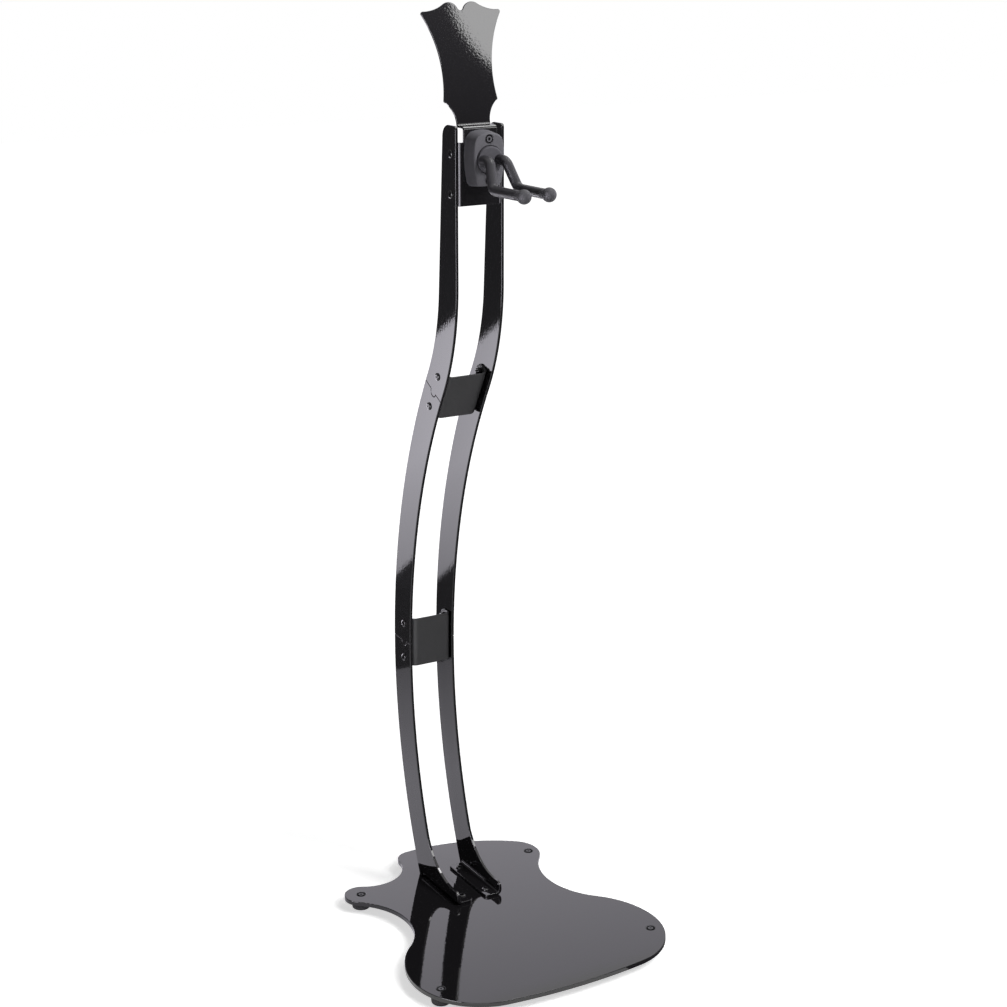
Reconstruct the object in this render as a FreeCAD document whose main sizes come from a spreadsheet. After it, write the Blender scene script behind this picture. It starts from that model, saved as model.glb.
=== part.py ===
"""Guitar stand: a guitar-shaped base plate, two curved rails in three lengths and a swivelling neck fork.

The fork's round turret turns in its block, and each prong swings in the turret, so that the weight of a
guitar closes the prongs on its neck.

Millimetres and degrees. X runs across the stand, -Y is the front, +Z is up. The origin lies on the floor
below the middle of the base plate. The rails stand symmetrically about the plane X = 0.
"""
import FreeCAD, Part
import math
import os

Vector = FreeCAD.Vector
Rotation = FreeCAD.Rotation
Placement = FreeCAD.Placement

SIZES = {
    # Base plate: rounds of the guitar body outline, and the blends between them
    "plate_thickness": 6.0,
    "plate_edge_round": 0.8,
    "bout_width": 380.0,
    "bout_y": -122.5,
    "bout_corner_radius": 100.0,
    "bout_side_radius": 125.0,
    "bout_front_radius": 780.0,
    "right_waist_radius": 109.0,
    "left_waist_radius": 100.0,
    "shoulder_x": 114.5,
    "shoulder_y": 145.0,
    "shoulder_radius": 42.0,
    "rear_edge_radius": 240.0,
    "heel_x": -20.0,
    "heel_y": 203.5,
    "heel_radius": 25.0,
    "cutaway_radius": 55.0,
    "horn_x": -140.0,
    "horn_y": 140.0,
    "horn_radius": 24.0,
    # Feet
    "foot_height": 14.0,
    "foot_diameter": 28.5,
    "foot_tread_diameter": 25.5,
    "foot_edge_round": 2.5,
    "foot_recess_diameter": 15.0,
    "foot_recess_depth": 10.0,
    "front_foot_inset": 24.0,
    "front_foot_ahead": 28.5,
    "shoulder_foot_out": 25.5,
    "shoulder_foot_ahead": 5.0,
    # Fasteners
    "screw_diameter": 6.0,
    "screw_clearance": 0.2,
    "screw_end": 3.5,
    "button_head_diameter": 10.5,
    "button_head_height": 1.9,
    "button_rim": 0.5,
    "button_flat_diameter": 6.2,
    "socket_width": 4.0,
    "socket_depth": 2.0,
    "countersunk_diameter": 12.6,
    "countersink_clearance": 0.1,
    "washer_diameter": 12.5,
    "washer_thickness": 1.6,
    "nut_width": 10.0,
    "nut_height": 5.0,
    # Rails: two tangent bends and a straight, tapered top
    "rail_spacing": 64.0,
    "rail_thickness": 4.0,
    "rail_width": 48.0,
    "rail_front_y": 34.3,
    "rail_top_z": 1121.0,
    "rail_taper": 3.6,
    "rail_rear_round": 16.0,
    "rail_front_round": 4.5,
    "upper_bend_radius": 288.0,
    "upper_bend_z": 913.0,
    "lower_bend_radius": 841.0,
    "lower_bend_z": 361.0,
    # Foot of the rails
    "toe_y": 39.5,
    "toe_height": 18.5,
    "toe_round": 8.0,
    "toe_flare_radius": 84.0,
    "flange_width": 26.0,
    "flange_rear_y": 150.3,
    "flange_round": 7.0,
    "flange_bend_radius": 3.5,
    "rail_screw_x": 19.5,
    "rail_screw_front_y": 57.3,
    "rail_screw_rear_y": 136.3,
    # Splices of the rails, with a round tongue on the upper of the two pieces
    "lower_splice_z": 372.5,
    "upper_splice_z": 761.5,
    "splice_gap": 0.4,
    "tongue_radius": 7.0,
    "tongue_clearance": 0.2,
    "screw_pitch": 52.0,
    "lower_screw_offset": -6.0,
    "upper_screw_offset": -1.5,
    # Splice brackets
    "bracket_thickness": 2.5,
    "bracket_bend_radius": 7.8,
    "bracket_length": 72.0,
    "bracket_depth": 28.0,
    "bracket_web_distance": 16.5,
    "bracket_corner_round": 12.0,
    # Headstock carrier: channel, shelf and tilted panel; drops are below the top of the rails
    "carrier_thickness": 3.0,
    "carrier_bend_radius": 2.0,
    "carrier_proud": 1.2,
    "carrier_depth": 27.0,
    "carrier_bottom_drop": 102.7,
    "carrier_shoulder_drop": 21.0,
    "carrier_screw_y": 47.0,
    "carrier_screw_drop": 88.0,
    "neck_width": 49.0,
    "shelf_drop": 1.0,
    "shelf_depth": 16.7,
    "head_tilt": 13.5,
    "head_neck_height": 3.5,
    "head_flare_radius": 36.0,
    "head_corner_x": 37.3,
    "head_corner_height": 31.5,
    "head_corner_round": 2.0,
    "head_waist_radius": 158.0,
    "head_tip_x": 54.5,
    "head_tip_height": 142.2,
    "head_tip_round": 3.0,
    "head_sweep_radius": 52.0,
    "head_hump_x": 16.8,
    "head_hump_height": 142.0,
    "head_hump_radius": 14.0,
    "head_notch_radius": 4.5,
    # Swivel block, round its turret
    "pivot_drop": 41.7,
    "block_side_wall": 3.0,
    "block_end_length": 15.8,
    "block_bottom_width": 36.0,
    "block_depth": 23.6,
    "block_top_round": 13.0,
    "block_bottom_round": 6.0,
    "block_arch_radius": 45.0,
    "block_side_radius": 130.0,
    "block_edge_round": 2.0,
    "block_draft": 6.0,
    "block_screw_inset": 7.2,
    "block_counterbore_depth": 2.6,
    "block_counterbore_clearance": 0.9,
    # Turret, its stub shaft and what retains it
    "turret_diameter": 35.4,
    "turret_proud": 4.5,
    "turret_edge_round": 2.5,
    "turret_clearance": 1.0,
    "turret_recess_depth": 9.0,
    "stub_diameter": 14.0,
    "stub_clearance": 0.06,
    "axial_play": 0.3,
    "retainer_recess_diameter": 26.0,
    "retainer_recess_depth": 8.0,
    "retainer_diameter": 23.0,
    "retainer_thickness": 2.0,
    "pivot_screw_length": 11.0,
    # Prongs of the fork
    "prong_x": 11.7,
    "prong_above_pivot": 0.5,
    "prong_splay": 11.4,
    "prong_lead": 17.5,
    "prong_reach": 19.6,
    "prong_drop": 33.8,
    "prong_run": 76.1,
    "prong_rise": 1.4,
    "prong_bend_radius": 13.0,
    "rod_diameter": 7.0,
    "rod_clearance": 0.1,
    "rod_head_diameter": 8.6,
    "rod_head_thickness": 2.4,
    "rod_head_clearance": 0.3,
    "swing_clearance": 0.06,
    "swing_play": 0.1,
    "sleeve_diameter": 13.4,
    "ball_diameter": 18.6,
    "cap_length": 13.5,
    "cap_seam_width": 0.8,
    "cap_seam_depth": 0.5,
}

doc = FreeCAD.newDocument("GuitarStand")
sheet = doc.addObject("Spreadsheet::Sheet", "Sizes")
for row, (name, value) in enumerate(SIZES.items(), start=1):
    sheet.set("A%d" % row, name)
    sheet.set("B%d" % row, str(value))
    sheet.setAlias("B%d" % row, name)
doc.recompute()

nodes = []


def size(name):
    """A driving dimension as a number."""
    return float(sheet.get(name))


def sheet_value(expression):
    """Value of an expression over the sheet."""
    doc.recompute()
    return float(sheet.evalExpression(expression.replace("Sizes.", "")))


# Plane geometry


def flat(x, y):
    return Vector(x, y, 0)


def polar(centre, radius, angle):
    """Point of a circle at an angle in radians."""
    return flat(centre.x + radius * math.cos(angle), centre.y + radius * math.sin(angle))


def arc(centre, radius, start, end):
    """Arc from one angle to the other, in radians."""
    middle = (start + end) / 2
    return Part.Arc(*(polar(centre, radius, angle) for angle in (start, middle, end)))


def line(start, end):
    return Part.LineSegment(start, end)


def circle(x, y, radius):
    return Part.Circle(flat(x, y), Vector(0, 0, 1), radius)


def rounded(corners, closed=True):
    """Straight runs through corners (x, y, radius), with a tangent arc where the radius isn't zero."""
    points = [flat(x, y) for x, y, radius in corners]
    edges = []
    inner = range(len(corners)) if closed else range(1, len(corners) - 1)
    pen = None if closed else points[0]
    first = None
    for index in inner:
        point = points[index]
        radius = corners[index][2]
        back = (points[index - 1] - point).normalize()
        ahead = (points[(index + 1) % len(points)] - point).normalize()
        if radius:
            half = back.getAngle(ahead) / 2
            tangent = radius / math.tan(half)
            centre = point + (back + ahead).normalize() * (radius / math.sin(half))
            middle = centre + (point - centre).normalize() * radius
            begin, finish = point + back * tangent, point + ahead * tangent
        else:
            begin, finish = point, point
        if pen is not None:
            edges.append(line(pen, begin))
        first = begin if first is None else first
        if radius:
            edges.append(Part.Arc(begin, middle, finish))
        pen = finish
    edges.append(line(pen, first if closed else points[-1]))
    return edges


def third_corner(near, near_side, far, far_side, turn):
    """Corner of a triangle over the base near-far with these two sides, on the left (1) or right (-1)."""
    base = far - near
    along = (near_side ** 2 - far_side ** 2 + base.Length ** 2) / (2 * base.Length)
    height = math.sqrt(near_side ** 2 - along ** 2)
    ahead = base / base.Length
    return near + ahead * along + flat(-ahead.y, ahead.x) * (height * turn)


def blend_points(near, near_radius, far, far_radius, kind, radius):
    """Tangent points on two rounds, and the middle of the hollow, bulge or line that joins them."""
    if kind == "hollow":
        centre = third_corner(near, near_radius + radius, far, far_radius + radius, -1)
    elif kind == "bulge":
        centre = third_corner(near, radius - near_radius, far, radius - far_radius, 1)
    elif kind == "touch":
        large, small = (near, far) if near_radius > far_radius else (far, near)
        meeting = large + (small - large).normalize() * max(near_radius, far_radius)
        return meeting, meeting, None
    else:
        ahead = (far - near).normalize()
        slope = (near_radius - far_radius) / (far - near).Length
        normal = ahead * slope + flat(ahead.y, -ahead.x) * math.sqrt(1 - slope ** 2)
        return near + normal * near_radius, far + normal * far_radius, None
    sign = 1 if kind == "hollow" else -1
    start = near + (centre - near).normalize() * (near_radius * sign)
    end = far + (centre - far).normalize() * (far_radius * sign)
    middle = centre + ((start - centre) + (end - centre)).normalize() * radius
    return start, end, middle


def tangent_outline(rounds):
    """Closed outline, counterclockwise, of rounds (x, y, radius, kind, blend radius) and their blends."""
    centres = [flat(entry[0], entry[1]) for entry in rounds]
    blends = []
    for index, (x, y, radius, kind, blend) in enumerate(rounds):
        following = (index + 1) % len(rounds)
        far, far_radius = centres[following], rounds[following][2]
        blends.append(blend_points(centres[index], radius, far, far_radius, kind, blend))
    edges = []
    for index, (start, end, middle) in enumerate(blends):
        arrival = blends[index - 1][1] - centres[index]
        departure = start - centres[index]
        begin = math.atan2(arrival.y, arrival.x)
        turn = (math.atan2(departure.y, departure.x) - begin) % (2 * math.pi)
        edges.append(arc(centres[index], rounds[index][2], begin, begin + turn))
        if middle is not None:
            edges.append(Part.Arc(start, middle, end))
        elif (end - start).Length > 0:
            edges.append(line(start, end))
    return edges


def mirrored_rounds(right_side, closing):
    """Rounds of an outline that is symmetric about x = 0, from its right side listed upwards."""
    left_side = []
    for index in range(len(right_side) - 1, -1, -1):
        x, y, radius, kind, blend = right_side[index]
        next_kind, next_blend = right_side[index - 1][3:] if index else closing
        left_side.append((-x, y, radius, next_kind, next_blend))
    return right_side + left_side


def hexagon(width):
    """Regular hexagon by its width across flats."""
    reach = width / math.sqrt(3)
    turns = [turn * math.pi / 3 for turn in range(6)]
    return rounded([(reach * math.cos(turn), reach * math.sin(turn), 0) for turn in turns])


# Features


def new_body(label, node=True):
    body = doc.addObject("PartDesign::Body", label)
    body.Label = label
    if node:
        nodes.append(body)
    return body


def new_sketch(body, name, role, edges, offset=None):
    """Sketch on one of the body's origin planes, moved along the plane's normal by an expression."""
    sketch = body.newObject("Sketcher::SketchObject", "%s_%s" % (body.Label, name))
    sketch.AttachmentSupport = [(next(item for item in body.Origin.OriginFeatures if item.Role == role), "")]
    sketch.MapMode = "FlatFace"
    if offset:
        sketch.setExpression("AttachmentOffset.Base.z", offset)
    sketch.addGeometry(edges, False)
    return sketch


def pad(body, sketch, length, reverse=False, symmetric=False, draft=None):
    """Prism on a sketch; a draft widens it away from the sketch."""
    feature = body.newObject("PartDesign::Pad", sketch.Name + "_pad")
    feature.Profile = sketch
    feature.setExpression("Length", length)
    feature.Reversed = reverse
    if draft:
        feature.setExpression("TaperAngle", draft)
    if symmetric:
        feature.SideType = "Symmetric"
    doc.recompute()
    return feature


def pocket(body, sketch, length, reverse=False, symmetric=False):
    """Cut that has to take material away."""
    before = body.Shape.Volume
    feature = body.newObject("PartDesign::Pocket", sketch.Name + "_pocket")
    feature.Profile = sketch
    feature.setExpression("Length", length)
    feature.Reversed = reverse
    if symmetric:
        feature.SideType = "Symmetric"
    doc.recompute()
    if body.Shape.Volume >= before:
        raise RuntimeError("%s cuts nothing" % feature.Name)
    return feature


def revolve(body, sketch, axis):
    feature = body.newObject("PartDesign::Revolution", sketch.Name + "_revolution")
    feature.Profile = sketch
    feature.ReferenceAxis = (sketch, [axis])
    feature.Angle = 360
    doc.recompute()
    return feature


def round_edges(body, feature, radius, chosen):
    """Fillet on the edges of a feature that the chosen test accepts."""
    names = ["Edge%d" % (index + 1) for index, edge in enumerate(feature.Shape.Edges) if chosen(edge)]
    fillet = body.newObject("PartDesign::Fillet", feature.Name + "_round")
    fillet.Base = (feature, names)
    fillet.setExpression("Radius", radius)
    doc.recompute()
    return fillet


def place(body, x="0", y="0", z="0"):
    for axis, expression in (("x", x), ("y", y), ("z", z)):
        body.setExpression("Placement.Base." + axis, expression)


def group(label, master, placements):
    """Node of identical fasteners: copies of one master, each where it is driven in."""
    copies = []
    for placement in placements:
        copy = master.Shape.copy()
        copy.Placement = placement
        copies.append(copy)
    feature = doc.addObject("Part::Feature", label)
    feature.Label = label
    feature.Shape = Part.makeCompound(copies)
    nodes.append(feature)


# Fasteners, each along its own Z axis with the seat of the head, or of the nut, at z = 0


def button_screw(label, length, node=False):
    """Domed button head screw with a hexagon socket."""
    shank, head = size("screw_diameter") / 2, size("button_head_diameter") / 2
    height, rim = size("button_head_height"), size("button_rim")
    flat_top = size("button_flat_diameter") / 2
    depth = sheet_value(length)
    dome_middle = flat((head + flat_top) / 2 + rim, (height + rim) / 2 + rim)
    body = new_body(label, node)
    edges = [
        line(flat(0, -depth), flat(shank, -depth)),
        line(flat(shank, -depth), flat(shank, 0)),
        line(flat(shank, 0), flat(head, 0)),
        line(flat(head, 0), flat(head, rim)),
        Part.Arc(flat(head, rim), dome_middle, flat(flat_top, height)),
        line(flat(flat_top, height), flat(0, height)),
        line(flat(0, height), flat(0, -depth)),
    ]
    revolve(body, new_sketch(body, "profile", "XZ_Plane", edges), "V_Axis")
    outline = hexagon(size("socket_width"))
    socket = new_sketch(body, "socket", "XY_Plane", outline, "Sizes.button_head_height")
    pocket(body, socket, "Sizes.socket_depth")
    return body


def hexagon_nut(label):
    bore = size("screw_diameter") / 2 + size("screw_clearance") / 2
    body = new_body(label, node=False)
    outline = hexagon(size("nut_width")) + [circle(0, 0, bore)]
    pad(body, new_sketch(body, "outline", "XY_Plane", outline), "Sizes.nut_height", reverse=True)
    return body


def ring(label, diameter, thickness, node=False):
    bore = size("screw_diameter") / 2 + size("screw_clearance")
    body = new_body(label, node)
    outline = [circle(0, 0, size(diameter) / 2), circle(0, 0, bore)]
    pad(body, new_sketch(body, "outline", "XY_Plane", outline), "Sizes." + thickness, reverse=True)
    return body


HOLE_RADIUS = size("screw_diameter") / 2 + size("screw_clearance")
PLATE_TOP = size("foot_height") + size("plate_thickness")
RAIL_INNER = size("rail_spacing") / 2
RAIL_OUTER = RAIL_INNER + size("rail_thickness")
nut = hexagon_nut("nut_master")


# Base plate and feet


def base_plate():
    half = size("bout_width") / 2
    corner, side = size("bout_corner_radius"), size("bout_side_radius")
    bout_y = size("bout_y")
    rounds = [
        (half - corner, bout_y, corner, "touch", 0),
        (half - side, bout_y, side, "hollow", size("right_waist_radius")),
        (size("shoulder_x"), size("shoulder_y"), size("shoulder_radius"), "bulge", size("rear_edge_radius")),
        (size("heel_x"), size("heel_y"), size("heel_radius"), "hollow", size("cutaway_radius")),
        (size("horn_x"), size("horn_y"), size("horn_radius"), "hollow", size("left_waist_radius")),
        (side - half, bout_y, side, "touch", 0),
        (corner - half, bout_y, corner, "bulge", size("bout_front_radius")),
    ]
    body = new_body("base_plate")
    outline = new_sketch(body, "outline", "XY_Plane", tangent_outline(rounds), "Sizes.foot_height")
    plate = pad(body, outline, "Sizes.plate_thickness")
    round_edges(body, plate, "Sizes.plate_edge_round",
                lambda edge: edge.BoundBox.ZMin > PLATE_TOP - size("plate_edge_round") / 2)
    top = "Sizes.foot_height + Sizes.plate_thickness"
    drilled = [circle(x, y, HOLE_RADIUS) for x, y in rail_screw_points()]
    pocket(body, new_sketch(body, "rail_holes", "XY_Plane", drilled, top), "Sizes.plate_thickness")
    sunk = [circle(x, y, HOLE_RADIUS) for x, y in foot_points()]
    sketch = new_sketch(body, "foot_holes", "XY_Plane", sunk, top)
    doc.recompute()
    before = body.Shape.Volume
    hole = body.newObject("PartDesign::Hole", "base_plate_countersinks")
    hole.Profile = sketch
    hole.ThreadType = "None"
    hole.DepthType = "ThroughAll"
    hole.HoleCutType = "Countersink"
    hole.HoleCutCustomValues = True
    hole.HoleCutCountersinkAngle = 90
    hole.setExpression("Diameter", "Sizes.screw_diameter + 2 * Sizes.screw_clearance")
    hole.setExpression("HoleCutDiameter", "Sizes.countersunk_diameter + 2 * Sizes.countersink_clearance")
    doc.recompute()
    if body.Shape.Volume >= before:
        raise RuntimeError("the countersinks cut nothing")


FRONT_FOOT_X = "(Sizes.bout_width / 2 - Sizes.front_foot_inset)"
FRONT_FOOT_Y = "Sizes.bout_y - Sizes.front_foot_ahead"
FOOT_PLACES = {
    "front_left": ("-" + FRONT_FOOT_X, FRONT_FOOT_Y),
    "front_right": (FRONT_FOOT_X, FRONT_FOOT_Y),
    "rear_left": ("Sizes.horn_x", "Sizes.horn_y"),
    "rear_right": (
        "Sizes.shoulder_x + Sizes.shoulder_foot_out",
        "Sizes.shoulder_y - Sizes.shoulder_foot_ahead",
    ),
}


def foot_points():
    """Where each foot stands, under a round of the plate's outline."""
    return [tuple(sheet_value(expression) for expression in place) for place in FOOT_PLACES.values()]


def rail_screw_points():
    rows = size("rail_screw_front_y"), size("rail_screw_rear_y")
    return [(side * size("rail_screw_x"), y) for side in (-1, 1) for y in rows]


def foot(place_name):
    """Turned rubber foot with a recess for the washer and nut below."""
    top, tread = size("foot_diameter") / 2, size("foot_tread_diameter") / 2
    recess, ceiling = size("foot_recess_diameter") / 2, size("foot_recess_depth")
    profile = rounded([
        (HOLE_RADIUS, size("foot_height"), 0),
        (HOLE_RADIUS, ceiling, 0),
        (recess, ceiling, 0),
        (recess, 0, 0),
        (tread, 0, size("foot_edge_round")),
        (top, size("foot_height"), 0),
    ])
    body = new_body("foot_" + place_name)
    revolve(body, new_sketch(body, "profile", "XZ_Plane", profile), "V_Axis")
    place(body, *FOOT_PLACES[place_name])


def foot_fasteners():
    """Countersunk screws from above, each with a washer and a nut in the recess of its foot."""
    head, shank = size("countersunk_diameter") / 2, size("screw_diameter") / 2
    nut_seat = size("foot_recess_depth") - size("washer_thickness")
    sunk = size("countersink_clearance")
    length = PLATE_TOP - sunk - nut_seat + size("nut_height")
    screw = new_body("foot_screw_master", node=False)
    corners = [(0, 0), (head, 0), (shank, shank - head), (shank, -length), (0, -length)]
    profile = rounded([(*corner, 0) for corner in corners])
    revolve(screw, new_sketch(screw, "profile", "XZ_Plane", profile), "V_Axis")
    socket = new_sketch(screw, "socket", "XY_Plane", hexagon(size("socket_width")))
    pocket(screw, socket, "Sizes.socket_depth")
    washer = ring("foot_washer_master", "washer_diameter", "washer_thickness")
    for label, master, height in (
        ("foot_screws", screw, PLATE_TOP - sunk),
        ("foot_washers", washer, size("foot_recess_depth")),
        ("foot_nuts", nut, nut_seat),
    ):
        group(label, master, [Placement(Vector(x, y, height), Rotation()) for x, y in foot_points()])


# Rails


HALF_WIDTH = size("rail_width") / 2
RAIL_TOP = size("rail_top_z")


class Bend:
    """One bend of the rails in side view, in (y, z); their rear edge lies outside (1) or inside (-1)."""

    def __init__(self, centre, radius, rear):
        self.centre, self.radius, self.rear = centre, radius, rear

    def angle(self, height):
        slope = math.asin((height - self.centre.y) / self.radius)
        return slope if self.rear > 0 else math.pi - slope

    def edge_radius(self, edge):
        """Radius of the rear (1) or front (-1) edge of the rail."""
        return self.radius + edge * self.rear * HALF_WIDTH

    def edge_arc(self, edge, start, end):
        return arc(self.centre, self.edge_radius(edge), start, end)


RISE = size("upper_bend_z") - size("lower_bend_z")
RUN = math.sqrt((size("lower_bend_radius") + size("upper_bend_radius")) ** 2 - RISE ** 2)
INFLECTION = math.atan2(RISE, RUN)
UP_Y = size("rail_front_y") + HALF_WIDTH + size("upper_bend_radius")
UP = Bend(flat(UP_Y, size("upper_bend_z")), size("upper_bend_radius"), -1)
LOW = Bend(flat(UP_Y - RUN, size("lower_bend_z")), size("lower_bend_radius"), 1)
INFLECTION_Z = polar(LOW.centre, LOW.radius, INFLECTION).y


def rail_edge(edge, start, end):
    """Rear (1) or front (-1) edge of a rail, upwards from one (bend, angle) to another."""
    if start[0] is end[0]:
        return [start[0].edge_arc(edge, start[1], end[1])]
    return [LOW.edge_arc(edge, start[1], INFLECTION), UP.edge_arc(edge, math.pi + INFLECTION, end[1])]


class Splice:
    """Joint across a rail, square to its bend there; offsets are taken rearwards and along the rail."""

    def __init__(self, name):
        height = size(name + "_splice_z")
        self.offset = size(name + "_screw_offset")
        self.bend = LOW if height < INFLECTION_Z else UP
        self.angle = self.bend.angle(height)
        self.origin = polar(self.bend.centre, self.bend.radius, self.angle)
        self.rearwards = (self.origin - self.bend.centre).normalize() * self.bend.rear
        self.along = flat(-self.rearwards.y, self.rearwards.x)

    def point(self, rearwards, along):
        return self.origin + self.rearwards * rearwards + self.along * along

    def end(self, edge, along):
        """Bend and angle at which the cut meets an edge of the rail."""
        return self.bend, self.angle + self.bend.rear * math.asin(along / self.bend.edge_radius(edge))

    def cut(self, along, radius):
        """Cut from the rear edge to the front edge, with a round notch or tongue below it."""
        rear, front = (
            polar(self.bend.centre, self.bend.edge_radius(edge), self.end(edge, along)[1])
            for edge in (1, -1)
        )
        begin, end = (self.point(self.offset + side * radius, along) for side in (1, -1))
        bottom = self.point(self.offset, along - radius)
        return [line(rear, begin), Part.Arc(begin, bottom, end), line(end, front)]

    def screw_points(self):
        return [self.point(self.offset, side * size("screw_pitch") / 2) for side in (-1, 1)]

    def screw_hole(self, side):
        spot = self.point(self.offset, side * size("screw_pitch") / 2)
        return circle(spot.x, spot.y, HOLE_RADIUS)


LOWER, UPPER = Splice("lower"), Splice("upper")
HALF_GAP = size("splice_gap") / 2
NOTCH_RADIUS = size("tongue_radius") + size("tongue_clearance")


def rail_body(side, name, edges):
    """Flat strip of one side, cut to an outline in side view."""
    body = new_body("%s_%s_rail" % (side, name))
    sign = "-" if side == "left" else ""
    sketch = new_sketch(body, "outline", "YZ_Plane", edges, sign + "Sizes.rail_spacing / 2")
    pad(body, sketch, "Sizes.rail_thickness", reverse=(side == "left"))
    return body


def lower_rail(side):
    """Strip with a flared toe, whose bottom edge is bent inwards into a flange on the plate."""
    low, rear_radius, front_radius = LOW.centre, LOW.edge_radius(1), LOW.edge_radius(-1)
    bend = size("flange_bend_radius") + size("rail_thickness")
    toe_y, nose_radius = size("toe_y"), size("toe_round")
    flange_rear = size("flange_rear_y")
    foot_angle = math.asin((PLATE_TOP - low.y) / rear_radius)
    flare_radius = size("toe_flare_radius")
    flare_z = PLATE_TOP + size("toe_height") + flare_radius
    flare_y = low.x + math.sqrt((front_radius - flare_radius) ** 2 - (flare_z - low.y) ** 2)
    flare = flat(flare_y, flare_z)
    flare_angle = math.atan2(flare_z - low.y, flare_y - low.x)
    nose_y = toe_y + nose_radius
    nose_z = flare_z - math.sqrt((flare_radius + nose_radius) ** 2 - (nose_y - flare_y) ** 2)
    nose = flat(nose_y, nose_z)
    meeting = math.atan2(nose_z - flare_z, nose_y - flare_y)
    rear_foot = polar(low, rear_radius, foot_angle)
    bottom = rounded([
        (toe_y, nose_z, 0),
        (toe_y, PLATE_TOP + bend, 0),
        (flange_rear, PLATE_TOP + bend, 0),
        (flange_rear, PLATE_TOP, 0),
        (rear_foot.x, rear_foot.y, 0),
    ], closed=False)
    edges = rail_edge(1, (LOW, foot_angle), LOWER.end(1, -HALF_GAP))
    edges += LOWER.cut(-HALF_GAP, NOTCH_RADIUS)
    edges += rail_edge(-1, (LOW, flare_angle), LOWER.end(-1, -HALF_GAP))
    edges += [arc(flare, flare_radius, flare_angle, meeting)]
    edges += [arc(nose, nose_radius, meeting + math.pi, math.pi)]
    edges += bottom + [LOWER.screw_hole(-1)]
    body = rail_body(side, "lower", edges)

    sign = -1 if side == "left" else 1
    inner_bend = size("flange_bend_radius")
    centre = flat(sign * (RAIL_OUTER - bend), PLATE_TOP + bend)
    start, end = -math.pi / 2, (0 if sign > 0 else -math.pi)
    corner = [
        arc(centre, bend, start, end),
        line(polar(centre, bend, end), polar(centre, inner_bend, end)),
        arc(centre, inner_bend, end, start),
        line(polar(centre, inner_bend, start), polar(centre, bend, start)),
    ]
    pad(body, new_sketch(body, "bend", "XZ_Plane", corner, "-Sizes.toe_y"),
        "Sizes.flange_rear_y - Sizes.toe_y", reverse=True)

    inner = sign * (RAIL_OUTER - size("flange_width"))
    flange = rounded([
        (centre.x, toe_y, 0),
        (inner, toe_y, size("flange_round")),
        (inner, flange_rear, size("flange_round") / 2),
        (centre.x, flange_rear, 0),
    ])
    flange += [circle(x, y, HOLE_RADIUS) for x, y in rail_screw_points() if x * sign > 0]
    pad(body, new_sketch(body, "flange", "XY_Plane", flange, "Sizes.foot_height + Sizes.plate_thickness"),
        "Sizes.rail_thickness")


def middle_rail(side):
    edges = rail_edge(1, LOWER.end(1, HALF_GAP), UPPER.end(1, -HALF_GAP))
    edges += UPPER.cut(-HALF_GAP, NOTCH_RADIUS)
    edges += rail_edge(-1, LOWER.end(-1, HALF_GAP), UPPER.end(-1, -HALF_GAP))
    edges += LOWER.cut(HALF_GAP, size("tongue_radius"))
    rail_body(side, "middle", edges + [LOWER.screw_hole(1), UPPER.screw_hole(-1)])


def upper_rail(side):
    """Strip that bends back upright, with a straight front and a tapered rear edge at the top."""
    taper = math.radians(size("rail_taper"))
    taper_start = polar(UP.centre, UP.edge_radius(1), math.pi + taper)
    front = size("rail_front_y")
    edges = rail_edge(1, UPPER.end(1, HALF_GAP), (UP, math.pi + taper))
    edges += rounded([
        (taper_start.x, taper_start.y, 0),
        (taper_start.x - (RAIL_TOP - taper_start.y) * math.tan(taper), RAIL_TOP, size("rail_rear_round")),
        (front, RAIL_TOP, size("rail_front_round")),
        (front, UP.centre.y, 0),
    ], closed=False)
    edges += rail_edge(-1, UPPER.end(-1, HALF_GAP), (UP, math.pi))
    edges += UPPER.cut(HALF_GAP, size("tongue_radius")) + [UPPER.screw_hole(1)]
    edges += [circle(y, z, HOLE_RADIUS) for y, z in carrier_screw_points()]
    rail_body(side, "upper", edges)


def rail_foot_fasteners():
    screw = button_screw("rail_foot_screw_master",
                         "Sizes.rail_thickness + Sizes.plate_thickness + Sizes.nut_height + Sizes.screw_end")
    top = PLATE_TOP + size("rail_thickness")
    fasteners = (("rail_foot_screws", screw, top), ("rail_foot_nuts", nut, size("foot_height")))
    for label, master, height in fasteners:
        group(label, master, [Placement(Vector(x, y, height), Rotation()) for x, y in rail_screw_points()])


def side_fasteners(label, points, wall):
    """Screws through both rails from outside, with nuts on the inside of a channel's walls."""
    screw = button_screw(label + "_screw_master",
                         "Sizes.rail_thickness + Sizes.%s + Sizes.nut_height + Sizes.screw_end" % wall)
    for suffix, master, reach in (("screws", screw, RAIL_OUTER), ("nuts", nut, RAIL_INNER - size(wall))):
        placements = []
        for side in (-1, 1):
            outwards = Rotation(Vector(0, 1, 0), side * 90)
            placements += [Placement(Vector(side * reach, spot.x, spot.y), outwards) for spot in points]
        group("%s_%s" % (label, suffix), master, placements)


# Channels between the rails


def channel(front, depth, wall, bend):
    """Section of a bent channel, closed at the front and open at the rear, as wide as the rails allow."""
    rear = front + depth
    return rounded([
        (-RAIL_INNER, front, bend + wall),
        (RAIL_INNER, front, bend + wall),
        (RAIL_INNER, rear, 0),
        (RAIL_INNER - wall, rear, 0),
        (RAIL_INNER - wall, front + wall, bend),
        (wall - RAIL_INNER, front + wall, bend),
        (wall - RAIL_INNER, rear, 0),
        (-RAIL_INNER, rear, 0),
    ])


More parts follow.
